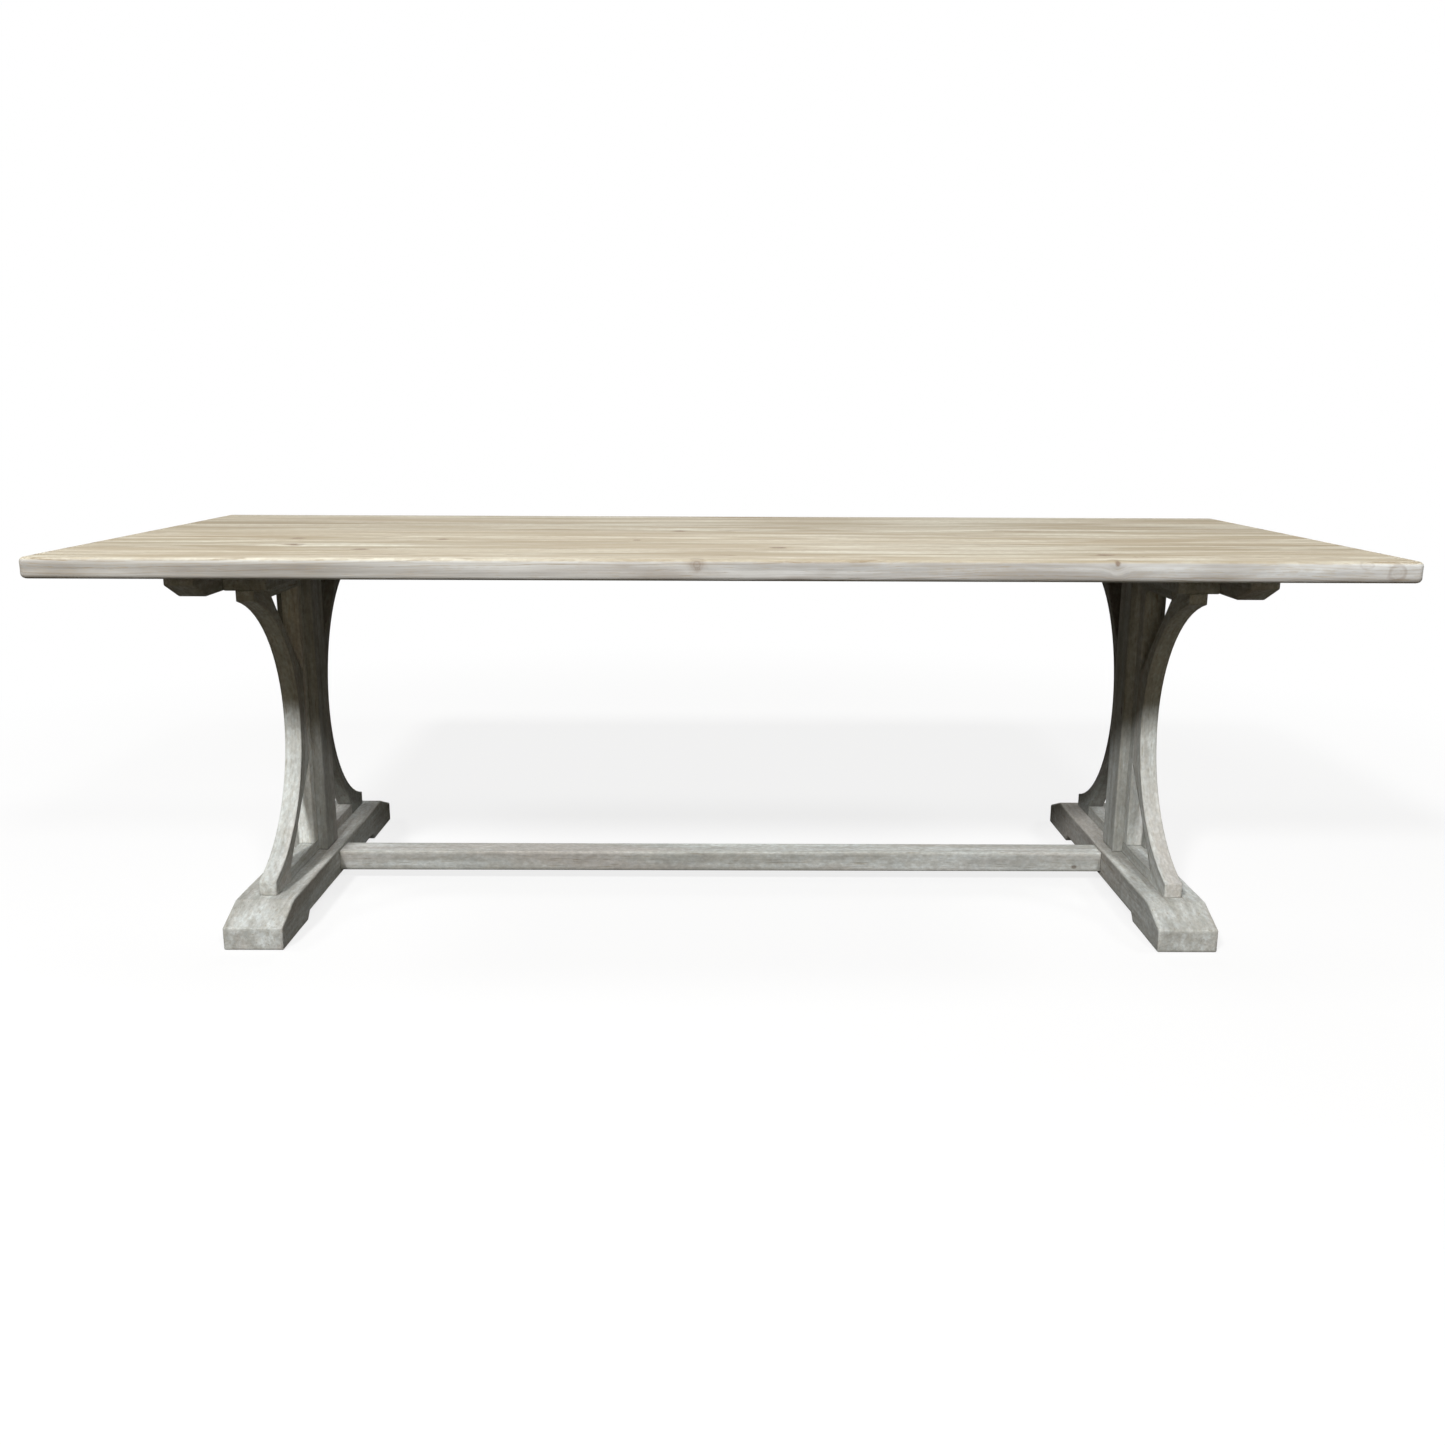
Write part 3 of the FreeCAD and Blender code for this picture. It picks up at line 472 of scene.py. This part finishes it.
def makeZinc():
    # zinc plate with a faint spangle and dull smears
    s = zincFinish
    material, tree, shader = newMaterial("zincPlate")
    here = objectPlace(tree)
    cell = addNode(tree, "ShaderNodeTexVoronoi", {"Vector": here, "Scale": s["spangleScale"]})
    spangle = addNode(tree, "ShaderNodeSeparateColor", {0: cell.outputs["Color"]}).outputs[0]
    smear = speckle(tree, stretch(tree, here, *s["smearScale"]), detail=4.0)
    share = calc(tree, "MULTIPLY", smear, s["smearShare"])
    share = calc(tree, "MULTIPLY_ADD", spangle, s["spangleShare"], share)
    tree.links.new(mixColour(tree, share, rgb(s["dull"]), rgb(s["bright"])), shader.inputs["Base Color"])
    tree.links.new(rise(tree, smear, *s["smearLimits"], *s["roughness"]), shader.inputs["Roughness"])
    addRelief(tree, shader, s, (smear,))
    shader.inputs["Metallic"].default_value = 1.0
    return material


topWood, baseWood, bareWood, zinc = makeTopWood(), makeBaseWood(), makeBareWood(), makeZinc()
print("materials made")


# joinery helpers; angles are in radians

joinery = {
    "hair": 1e-6,  # closer than this counts as touching
    "sharpAngle": 0.35, "flatAngle": 0.3, "crispAngle": 1.0, "drillSides": 28,
    "broadRub": 22.0, "fineRub": 70.0, "fineShare": 0.6,
    "logLength": 30.0, "heartAside": 0.05, "heartDepth": (0.05, 0.12),
}
grainAxes = {"x": (0, 1, 2), "y": (1, 0, 2), "z": (2, 0, 1)}


def boxMesh(low, high):
    bm = bmesh.new()
    bmesh.ops.create_cube(bm, size=1.0)
    bmesh.ops.scale(bm, vec=high - low, verts=bm.verts)
    bmesh.ops.translate(bm, vec=(low + high) / 2, verts=bm.verts)
    return bm


def thicken(bm, face, start, end):
    # a flat outline drawn at x = start becomes a board up to x = end
    made = bmesh.ops.extrude_face_region(bm, geom=[face])["geom"]
    moved = [v for v in made if isinstance(v, bmesh.types.BMVert)]
    bmesh.ops.translate(bm, vec=(end - start, 0, 0), verts=moved)
    bmesh.ops.recalc_face_normals(bm, faces=bm.faces)


def outlineMesh(corners, start, end):
    bm = bmesh.new()
    thicken(bm, bm.faces.new([bm.verts.new((start, y, z)) for y, z in corners]), start, end)
    return bm


def addRungs(bm, axis, step):
    # cuts across the length, so that the arrises can waver
    spots = [v.co[axis] for v in bm.verts]
    low, high = min(spots), max(spots)
    count = max(1, round((high - low) / step))
    way = Vector((axis == 0, axis == 1, axis == 2))
    for number in range(1, count):
        spot = low + (high - low) * number / count
        bmesh.ops.bisect_plane(bm, geom=bm.verts[:] + bm.edges[:] + bm.faces[:], dist=joinery["hair"],
                               plane_co=way * spot, plane_no=way)


def ease(bm, width, segments, test=None):
    # rounds the arrises whose middle passes the test
    mark = bm.faces.layers.int.get("arris") or bm.faces.layers.int.new("arris")
    sharp = [e for e in bm.edges if e.is_manifold and e.calc_face_angle(0.0) > joinery["sharpAngle"]
             and not any(f[mark] for f in e.link_faces)]
    sharp = [e for e in sharp if test is None or test((e.verts[0].co + e.verts[1].co) / 2)]
    made = bmesh.ops.bevel(bm, geom=sharp, offset=width, offset_type="OFFSET", affect="EDGES",
                           segments=segments, profile=0.5, material=-1, clamp_overlap=True)
    mark = bm.faces.layers.int["arris"]
    for face in made["faces"]:
        face[mark] = 1


def flatRegions(bm):
    mark = bm.faces.layers.int["arris"]
    left = {f for f in bm.faces if not f[mark]}
    regions = []
    while left:
        first = min(left, key=lambda f: f.index)
        left.discard(first)
        region, queue = [first], [first]
        while queue:
            face = queue.pop()
            for e in face.edges:
                for other in e.link_faces:
                    if other in left and face.normal.angle(other.normal, math.pi) < joinery["flatAngle"]:
                        left.discard(other)
                        region.append(other)
                        queue.append(other)
        regions.append(region)
    return regions


def wearIn(bm, rim, amount, seed):
    # a loop just inside each face keeps it flat, and the arrises are rubbed back unevenly
    j = joinery
    edge = bm.verts.layers.float.new("edge")
    for v in bm.verts:
        v[edge] = 1.0
    worn = list(bm.verts)
    bm.faces.index_update()
    for region in flatRegions(bm):
        before = set(bm.verts)
        bmesh.ops.inset_region(bm, faces=region, thickness=rim, use_even_offset=True, use_boundary=True)
        edge = bm.verts.layers.float["edge"]
        for v in set(bm.verts) - before:
            v[edge] = 0.0
    bm.normal_update()
    shifts = {}
    for v in worn:
        rub = noise.noise(v.co * j["broadRub"] + Vector((seed, 0, 0)))
        rub += j["fineShare"] * noise.noise(v.co * j["fineRub"] + Vector((0, seed, 0)))
        shifts[v] = v.normal * amount * (0.5 + 0.5 * max(-1.0, min(1.0, rub)))
    for v, shift in shifts.items():
        v.co -= shift


def dress(bm, axis, s, seed):
    addRungs(bm, axis, s["rung"])
    ease(bm, s["arris"], s["steps"])
    wearIn(bm, s["rim"], s["wear"], seed)


def carve(bm, cutter):
    # takes the cutter's shape out of a piece
    holders = []
    for name, shape in (("stock", bm), ("cutter", cutter)):
        mesh = bpy.data.meshes.new(name)
        shape.to_mesh(mesh)
        shape.free()
        holders.append(bpy.data.objects.new(name, mesh))
        bpy.context.scene.collection.objects.link(holders[-1])
    cut = holders[0].modifiers.new("carve", "BOOLEAN")
    cut.operation, cut.solver, cut.object = "DIFFERENCE", "EXACT", holders[1]
    stock = holders[0].evaluated_get(bpy.context.evaluated_depsgraph_get())
    result = bpy.data.meshes.new_from_object(stock)
    made = bmesh.new()
    made.from_mesh(result)
    for mesh in [holder.data for holder in holders] + [result]:
        bpy.data.meshes.remove(mesh)  # takes its holder with it
    return made


def addDrill(bm, middle, radius, depth):
    # an upright drill that reaches as far below a face as it goes above it
    bmesh.ops.create_cone(bm, cap_ends=True, segments=joinery["drillSides"], radius1=radius, radius2=radius,
                          depth=2 * depth, matrix=Matrix.Translation(middle))


def putPiece(name, bm, node, material):
    for f in bm.faces:
        f.smooth = True
    for e in bm.edges:  # rims of holes stay crisp
        e.smooth = not e.is_manifold or e.calc_face_angle(0.0) < joinery["crispAngle"]
    mesh = bpy.data.meshes.new(name)
    bm.to_mesh(mesh)
    bm.free()
    mesh.materials.clear()
    mesh.materials.append(material)
    piece = bpy.data.objects.new(name, mesh)
    bpy.context.scene.collection.objects.link(piece)
    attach(piece, "root")
    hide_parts(node)


def finishPiece(name, bm, node, material, along, seed, tone, flow=None):
    # grain runs along the named axis or as flow says, and every board comes from its own spot in the tree
    j = joinery
    chance = random.Random(seed)
    axes = grainAxes[along]
    middle = sum((v.co for v in bm.verts), Vector()) / len(bm.verts)
    start = chance.uniform(0, j["logLength"])
    aside = chance.uniform(-j["heartAside"], j["heartAside"])
    heart = Vector((start, aside, chance.choice((-1, 1)) * chance.uniform(*j["heartDepth"])))
    grain = bm.verts.layers.float_vector.new("grain")
    shade = bm.verts.layers.float.new("tone")
    for v in bm.verts:
        spot = v.co - middle
        v[grain] = heart + (flow(v.co) if flow else Vector([spot[axis] for axis in axes]))
        v[shade] = tone(v.co) if callable(tone) else tone
    putPiece(name, bm, node, material)


plankShape = {
    "rung": 0.06, "corner": 0.014, "cornerSteps": 8, "arris": 0.008, "arrisSteps": 5, "seam": 0.0008,
    "seamWear": 0.3, "rim": 0.006, "wear": 0.0006, "wearStep": 3.7,
    "dish": 0.0005, "dishPace": 1.4, "dishStep": 5.1,
    "midBand": 0.01,  # arrises this near to the middle of the thickness are left
    "tones": [0.06, 0.01, 0.0, 0.07, 0.0, -0.05, -0.08, -0.07, -0.09],
}
plankCount = len(plankShape["tones"])


def makePlank(number):
    s = plankShape
    node = f"top_plank_{number}"
    low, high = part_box(node)
    hair = joinery["hair"]
    bm = boxMesh(low, high)
    outer = {1: -1, plankCount: 1}.get(number, 0)
    if outer:  # the long outside edge, with round corners
        outside = low.y if outer < 0 else high.y
        corners = [e for e in bm.edges if all(abs(v.co.y - outside) < hair for v in e.verts)
                   and abs(e.verts[0].co.z - e.verts[1].co.z) > hair]
        bmesh.ops.bevel(bm, geom=corners, offset=s["corner"], offset_type="OFFSET", affect="EDGES",
                        segments=s["cornerSteps"], profile=0.5, material=-1)
    addRungs(bm, 0, s["rung"])
    seams = [y for y in (low.y, high.y) if not outer or abs(y - outside) > hair]
    middle = (low.z + high.z) / 2

    def isSeam(spot):
        return any(abs(spot.y - y) < hair for y in seams)

    def onFace(spot):
        return abs(spot.z - middle) > s["midBand"]

    ease(bm, s["arris"], s["arrisSteps"], lambda spot: not isSeam(spot) and onFace(spot))
    ease(bm, s["seam"], 1, lambda spot: isSeam(spot) and onFace(spot))
    wearIn(bm, s["rim"], s["wear"] if outer else s["seam"] * s["seamWear"], number * s["wearStep"])
    for v in bm.verts:  # boards never lie quite level
        if v.co.z > middle:
            wave = noise.noise(Vector((v.co.x * s["dishPace"], number * s["dishStep"], 0.0)))
            v.co.z -= s["dish"] * (0.5 + 0.5 * wave)
    finishPiece(f"topBoard{number}", bm, node, topWood, "x", number, s["tones"][number - 1])


for number in range(1, plankCount + 1):
    makePlank(number)
screwRows = [sum(spot.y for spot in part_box(f"top_plank_{number}")) / 2 for number in range(2, plankCount)]
print("planked top made")

footShape = {"rung": 0.05, "arris": 0.0025, "steps": 3, "rim": 0.004, "wear": 0.0008, "toeHeight": 0.045,
             "toeRun": 0.080, "padLength": 0.155, "reliefHeight": 0.015, "reliefRun": 0.015,
             "pegHole": 0.0052, "holeDepth": 0.012, "tone": 0.04, "seed": 20}


def makeFoot(side, seed):
    s = footShape
    node = f"foot_{side}"
    low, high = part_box(node)
    end, top = high.y, high.z
    pad = end - s["padLength"]
    relief = pad - s["reliefRun"]
    half = [(pad, 0.0), (end, 0.0), (end, s["toeHeight"]), (end - s["toeRun"], top)]
    corners = half + [(-y, z) for y, z in reversed(half)]
    corners += [(-relief, s["reliefHeight"]), (relief, s["reliefHeight"])]
    bm = outlineMesh(corners, low.x, high.x)
    dress(bm, 1, s, seed)
    pegLow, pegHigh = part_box("stretcher_pegs")
    pegHalf = (pegHigh.y - pegLow.y) / 2
    peg = pegLow.x + pegHalf if side == "left" else pegHigh.x - pegHalf
    drill = bmesh.new()
    addDrill(drill, (peg, 0.0, s["reliefHeight"]), s["pegHole"], s["holeDepth"])
    finishPiece(f"foot.{side}", carve(bm, drill), node, baseWood, "y", seed, s["tone"])


def makeBar(name, node, s, along, seed, tone=0.0, ends=None):
    # a straight bar that fills its box, or lies between the ends given, with its tenons hidden
    low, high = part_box(node)
    axis = grainAxes[along][0]
    if ends:
        low[axis], high[axis] = ends
    bm = boxMesh(low, high)
    dress(bm, axis, s, seed)
    finishPiece(name, bm, node, baseWood, along, seed, tone)


# the posts' tones are painted shade: the posts are painted darker where the table top shades them, the left
# post most
postShape = {"rung": 0.05, "arris": 0.0025, "steps": 2, "rim": 0.004, "wear": 0.0006,
             "tones": {"left": -0.22, "right": -0.1}, "seed": 24}
beamShape = {"rung": 0.05, "arris": 0.0025, "steps": 2, "rim": 0.004, "wear": 0.0006,
             "tone": -0.1, "seed": 28}
cleatShape = {"rung": 0.05, "arris": 0.0025, "steps": 2, "rim": 0.004, "wear": 0.0007, "noseHeight": 0.017,
              "chamferRun": 0.060, "bore": 0.007, "boreDepth": 0.014, "tone": -0.1, "seed": 32}


def makeCleat(side, seed):
    s = cleatShape
    node = f"cleat_{side}"
    low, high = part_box(node)
    nose, flat = high.z - s["noseHeight"], high.y - s["chamferRun"]
    half = [(flat, low.z), (high.y, nose), (high.y, high.z)]
    corners = [(-y, z) for y, z in reversed(half)] + half
    bm = outlineMesh(corners, low.x, high.x)
    dress(bm, 1, s, seed)
    drill = bmesh.new()
    for y in screwRows:
        addDrill(drill, ((low.x + high.x) / 2, y, low.z), s["bore"], s["boreDepth"])
    finishPiece(f"cleat.{side}", carve(bm, drill), node, baseWood, "y", seed, s["tone"])


braceShape = {
    "rung": 0.04, "arris": 0.0022, "arrisSteps": 3, "barArris": 0.0012, "steps": 2, "joint": 0.0006,
    "rim": 0.003, "wear": 0.0006, "curveSteps": 30, "waist": 0.103, "lowerTip": 0.029, "upperTip": 0.020,
    "strip": 0.020, "slope": (0.752, 0.659), "near": 0.002, "tipNear": 0.0001,
    # the rear braces' tone of -0.3 is painted shade: they stand in the table top's shade and are painted
    # darker for it
    "tones": {"front": 0.09, "rear": -0.3}, "stilePaintedLight": {"left": 0.42, "right": 0.05}, "seed": 60,
}


def makeBrace(side, way, seed):
    s = braceShape
    name = f"{side}_{way}"
    sign = 1 if way == "rear" else -1
    low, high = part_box(f"curved_brace_{name}")
    tip = max(abs(low.y), abs(high.y))
    railTop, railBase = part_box(f"lower_rail_{name}")[1].z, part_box(f"upper_rail_{name}")[0].z
    stileEdge = max(abs(corner.y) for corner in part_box(f"brace_stile_{name}"))
    curveLow, curveHigh = low.z + s["lowerTip"], high.z - s["upperTip"]
    halfRise, run = (curveHigh - curveLow) / 2, tip - s["waist"]
    radius = (halfRise * halfRise + run * run) / (2 * run)
    centre = Vector((low.x, (s["waist"] + radius) * sign, curveLow + halfRise))
    across, up = s["slope"]
    reach = radius + s["strip"]
    lowerHeel = abs(centre.y) - (reach - (centre.z - railTop) * up) / across
    upperHeel = abs(centre.y) - (reach - (railBase - centre.z) * up) / across
    gap = (reach - (abs(centre.y) - stileEdge) * across) / up
    bm = bmesh.new()
    start = bm.verts.new((low.x, tip * sign, curveLow))
    sweep = 2 * math.acos((radius - run) / radius)
    bmesh.ops.spin(bm, geom=[start], cent=centre, axis=(1, 0, 0), angle=-sweep * sign, steps=s["curveSteps"],
                   use_merge=False, dvec=(0, 0, 0))
    chain = [start]
    while True:  # walk along the curve from its low end
        others = [e.other_vert(chain[-1]) for e in chain[-1].link_edges]
        after = [v for v in others if v not in chain]
        if not after:
            break
        chain.append(after[0])
    rest = [(tip, high.z), (upperHeel, high.z), (upperHeel, railBase), (stileEdge, centre.z + gap),
            (stileEdge, centre.z - gap), (lowerHeel, railTop), (lowerHeel, low.z), (tip, low.z)]
    chain += [bm.verts.new((low.x, y * sign, z)) for y, z in rest]
    thicken(bm, bm.faces.new(chain), low.x, high.x)
    addRungs(bm, 2, s["rung"])

    def onCurve(spot):
        return abs(math.hypot(spot.y - centre.y, spot.z - centre.z) - radius) < s["near"]

    def onWindow(spot):
        off = (abs(centre.y) - abs(spot.y)) * across + abs(centre.z - spot.z) * up
        return abs(off - reach) < s["near"] and railTop + s["near"] < spot.z < railBase - s["near"]

    def onTip(spot):
        return abs(spot.y) > tip - s["tipNear"]

    def alongCurve(spot):
        away, above = abs(centre.y) - abs(spot.y), spot.z - centre.z
        return Vector((radius * math.atan2(above, away), math.hypot(away, above) - radius, spot.x - low.x))

    ease(bm, s["arris"], s["arrisSteps"], lambda spot: onCurve(spot) or onWindow(spot) or onTip(spot))
    ease(bm, s["joint"], 1)
    wearIn(bm, s["rim"], s["wear"], seed)
    # on the rear braces this tone is painted shade
    finishPiece(f"curvedBrace.{name}", bm, f"curved_brace_{name}", baseWood, "z", seed,
                s["tones"][way], alongCurve)
    bar = {**s, "arris": s["barArris"]}
    # the stiles' tone is painted light: the left stiles are painted lighter where the lamp light falls on
    # them
    makeBar(f"braceStile.{name}", f"brace_stile_{name}", bar, "z", seed + 1, s["stilePaintedLight"][side])
    makeBar(f"lowerRail.{name}", f"lower_rail_{name}", bar, "y", seed + 2)
    makeBar(f"upperRail.{name}", f"upper_rail_{name}", bar, "y", seed + 3)


for count, side in enumerate(("left", "right")):
    makeFoot(side, footShape["seed"] + count)
    shaft = (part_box(f"foot_{side}")[1].z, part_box(f"head_beam_{side}")[0].z)
    # each post's tone is painted shade
    makeBar(f"post.{side}", f"post_{side}", postShape, "z", postShape["seed"] + count,
            postShape["tones"][side], shaft)
    makeBar(f"headBeam.{side}", f"head_beam_{side}", beamShape, "y", beamShape["seed"] + count,
            beamShape["tone"])
    makeCleat(side, cleatShape["seed"] + count)
    for turn, way in enumerate(("front", "rear")):
        makeBrace(side, way, braceShape["seed"] + 10 * count + 5 * turn)

stretcherShape = {"rung": 0.05, "arris": 0.003, "steps": 3, "rim": 0.005, "wear": 0.0008,
                  "tones": (-0.07, 0.16), "seed": 51}
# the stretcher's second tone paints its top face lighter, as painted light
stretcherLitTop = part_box("stretcher")[1].z - stretcherShape["arris"]
makeBar("stretcherRail", "stretcher", stretcherShape, "x", stretcherShape["seed"],
        lambda spot: stretcherShape["tones"][spot.z > stretcherLitTop],  # the top face is painted lighter, a painted highlight where the light falls on it
        (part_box("foot_left")[1].x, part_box("foot_right")[0].x))
print("trestles made")

for node in ("plank_tongues", "foot_dowels", "beam_dowels", "stile_dowels", "stretcher_pegs"):
    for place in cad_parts[node].material_slots:
        place.material = bareWood

fixingShape = {
    "slotLength": 0.0056, "slotWidth": 0.0013, "slotDepth": 0.0016,
    "sharpAngle": 0.6, "flatAngle": 0.01, "steps": 2,
    "rounds": {"post_lag_screws": 0.0007, "lag_washers": 0.0004, "cleat_bolts": 0.0007,
               "bolt_washers": 0.0004, "bolt_nuts": 0.0007, "cleat_screws": 0.0006},
}


def soften(node, width):
    # a merged copy of a CAD fixing with its rims and corners rounded
    s = fixingShape
    bm = bmesh.new()
    bm.from_mesh(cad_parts[node].data)
    bmesh.ops.remove_doubles(bm, verts=bm.verts, dist=joinery["hair"])
    bmesh.ops.dissolve_limit(bm, angle_limit=s["flatAngle"], verts=bm.verts, edges=bm.edges)
    sharp = [e for e in bm.edges if e.is_manifold and e.calc_face_angle(0.0) > s["sharpAngle"]]
    bmesh.ops.bevel(bm, geom=sharp, offset=width, offset_type="OFFSET", affect="EDGES", segments=s["steps"],
                    profile=0.5, material=-1, clamp_overlap=True)
    bmesh.ops.recalc_face_normals(bm, faces=bm.faces)
    return bm


def cutSlots(bm):
    # a cross slot in each screw head, one way at a time
    s = fixingShape
    low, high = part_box("cleat_screws")
    headHalf = screwRows[0] - low.y
    half = Vector((s["slotLength"], s["slotWidth"], 2 * s["slotDepth"])) / 2
    for size in (half, Vector((half.y, half.x, half.z))):
        driver = bmesh.new()
        for x in (low.x + headHalf, high.x - headHalf):
            for y in screwRows:
                made = bmesh.ops.create_cube(driver, size=2.0)["verts"]
                bmesh.ops.scale(driver, vec=size, verts=made)
                bmesh.ops.translate(driver, vec=(x, y, low.z), verts=made)
        bm = carve(bm, driver)
    return bm


for node, width in fixingShape["rounds"].items():
    fixing = soften(node, width)
    if node == "cleat_screws":
        fixing = cutSlots(fixing)
    putPiece(node.replace("_", "."), fixing, node, zinc)
print("fixings finished")

studio = {
    "floorSize": 60.0, "pale": (0.97, 0.97, 0.97), "bounce": (0.036, 0.028, 0.016), "shadowShare": 0.2,
    "shadowReach": (1.6, 3.2), "white": (1.0, 1.0, 1.0), "fill": (0.021, 0.0165, 0.0095),
    "target": (0.0, 0.0, 0.45),
    "lamps": [  # name, place, width, level, colour
        ("keyLamp", (-2.68, -5.75, 5.19), 0.9, 0.75, (1.0, 1.0, 1.0)),
        ("sideKeyLamp", (2.36, -5.84, 5.27), 0.9, 0.31, (1.0, 1.0, 1.0)),
        ("backLamp", (0.0, 15.0, 11.0), 6.0, 0.26, (1.0, 1.0, 1.0)),
        ("frontLamp", (0.3, -4.0, 1.2), 1.0, 0.058, (1.0, 0.88, 0.66)),
        ("leftLamp", (-6.7, 0.0, 6.4), 1.6, 0.18, (1.0, 1.0, 1.0)),
        ("rightLamp", (6.7, 0.0, 6.4), 1.6, 0.18, (1.0, 1.0, 1.0))],
}


def seenPlainly(tree):
    # rays from the camera, and those that a glossy or clear face sends on
    path = tree.nodes.new("ShaderNodeLightPath").outputs
    mirrored = calc(tree, "MAXIMUM", path["Is Glossy Ray"], path["Is Transmission Ray"])
    return calc(tree, "MAXIMUM", path["Is Camera Ray"], mirrored)


def makeFloor():
    # shows white with the table's soft shadow, and throws back little light
    s = studio
    bm = bmesh.new()
    bmesh.ops.create_grid(bm, x_segments=1, y_segments=1, size=s["floorSize"] / 2)
    mesh = bpy.data.meshes.new("floor")
    bm.to_mesh(mesh)
    bm.free()
    floor = bpy.data.objects.new("floor", mesh)
    bpy.context.scene.collection.objects.link(floor)
    material, tree, shader = newMaterial("paleFloor")
    tree.nodes.remove(shader)
    white = addNode(tree, "ShaderNodeEmission", {"Color": rgb(s["white"]), "Strength": 1.0}).outputs[0]
    pale = addNode(tree, "ShaderNodeBsdfDiffuse", {"Color": rgb(s["pale"])}).outputs[0]
    dim = addNode(tree, "ShaderNodeBsdfDiffuse", {"Color": rgb(s["bounce"])}).outputs[0]
    away = vecCalc(tree, "LENGTH", objectPlace(tree), out=1)
    fade = rise(tree, away, *s["shadowReach"], s["shadowShare"], 0.0)
    shown = addNode(tree, "ShaderNodeMixShader", {0: fade, 1: white, 2: pale}).outputs[0]
    whole = addNode(tree, "ShaderNodeMixShader", {0: seenPlainly(tree), 1: dim, 2: shown}).outputs[0]
    tree.links.new(whole, tree.nodes["Material Output"].inputs["Surface"])
    mesh.materials.append(material)


def makeLights():
    s = studio
    world = bpy.data.worlds.new("studio")
    world.use_nodes = True
    tree = world.node_tree
    colour = mixColour(tree, seenPlainly(tree), rgb(s["fill"]), rgb(s["white"]))
    tree.links.new(colour, tree.nodes["Background"].inputs["Color"])
    bpy.context.scene.world = world
    target = Vector(s["target"])
    for name, place, width, level, colour in s["lamps"]:
        way = Vector(place) - target
        lamp = bpy.data.lights.new(name, "AREA")
        lamp.shape, lamp.size, lamp.color = "DISK", width, colour
        # level 1 lights a square-on surface to its own colour
        lamp.energy = level * math.pi ** 2 * way.length_squared
        holder = bpy.data.objects.new(name, lamp)
        holder.location = place
        holder.rotation_euler = way.to_track_quat("Z", "Y").to_euler()
        holder.visible_camera = False
        bpy.context.scene.collection.objects.link(holder)


cameraSettings = {"spot": (-0.0085, -2.7706, 1.0007), "pitch": 13.126, "roll": 0.232, "yaw": -0.229,
                  "lens": 32.572, "sensor": 36.0, "clip": (0.05, 200.0)}


def makeCamera():
    s = cameraSettings
    pitch, roll, yaw = (math.radians(s[key]) for key in ("pitch", "roll", "yaw"))
    level = Vector((-math.sin(yaw), math.cos(yaw), 0.0))
    right = Vector((math.cos(yaw), math.sin(yaw), 0.0))
    ahead = level * math.cos(pitch) - Vector((0, 0, math.sin(pitch)))
    above = level * math.sin(pitch) + Vector((0, 0, math.cos(pitch)))
    camRight = right * math.cos(roll) + above * math.sin(roll)
    camUp = above * math.cos(roll) - right * math.sin(roll)
    data = bpy.data.cameras.new("camera")
    data.sensor_width, data.lens = s["sensor"], s["lens"]
    data.clip_start, data.clip_end = s["clip"]
    camera = bpy.data.objects.new("camera", data)
    axes = Matrix((camRight, camUp, -ahead)).transposed()
    camera.matrix_world = Matrix.Translation(s["spot"]) @ axes.to_4x4()
    bpy.context.scene.collection.objects.link(camera)
    bpy.context.scene.camera = camera


makeFloor()
makeLights()
makeCamera()
bpy.context.scene.view_settings.view_transform = "Standard"
print("studio ready")
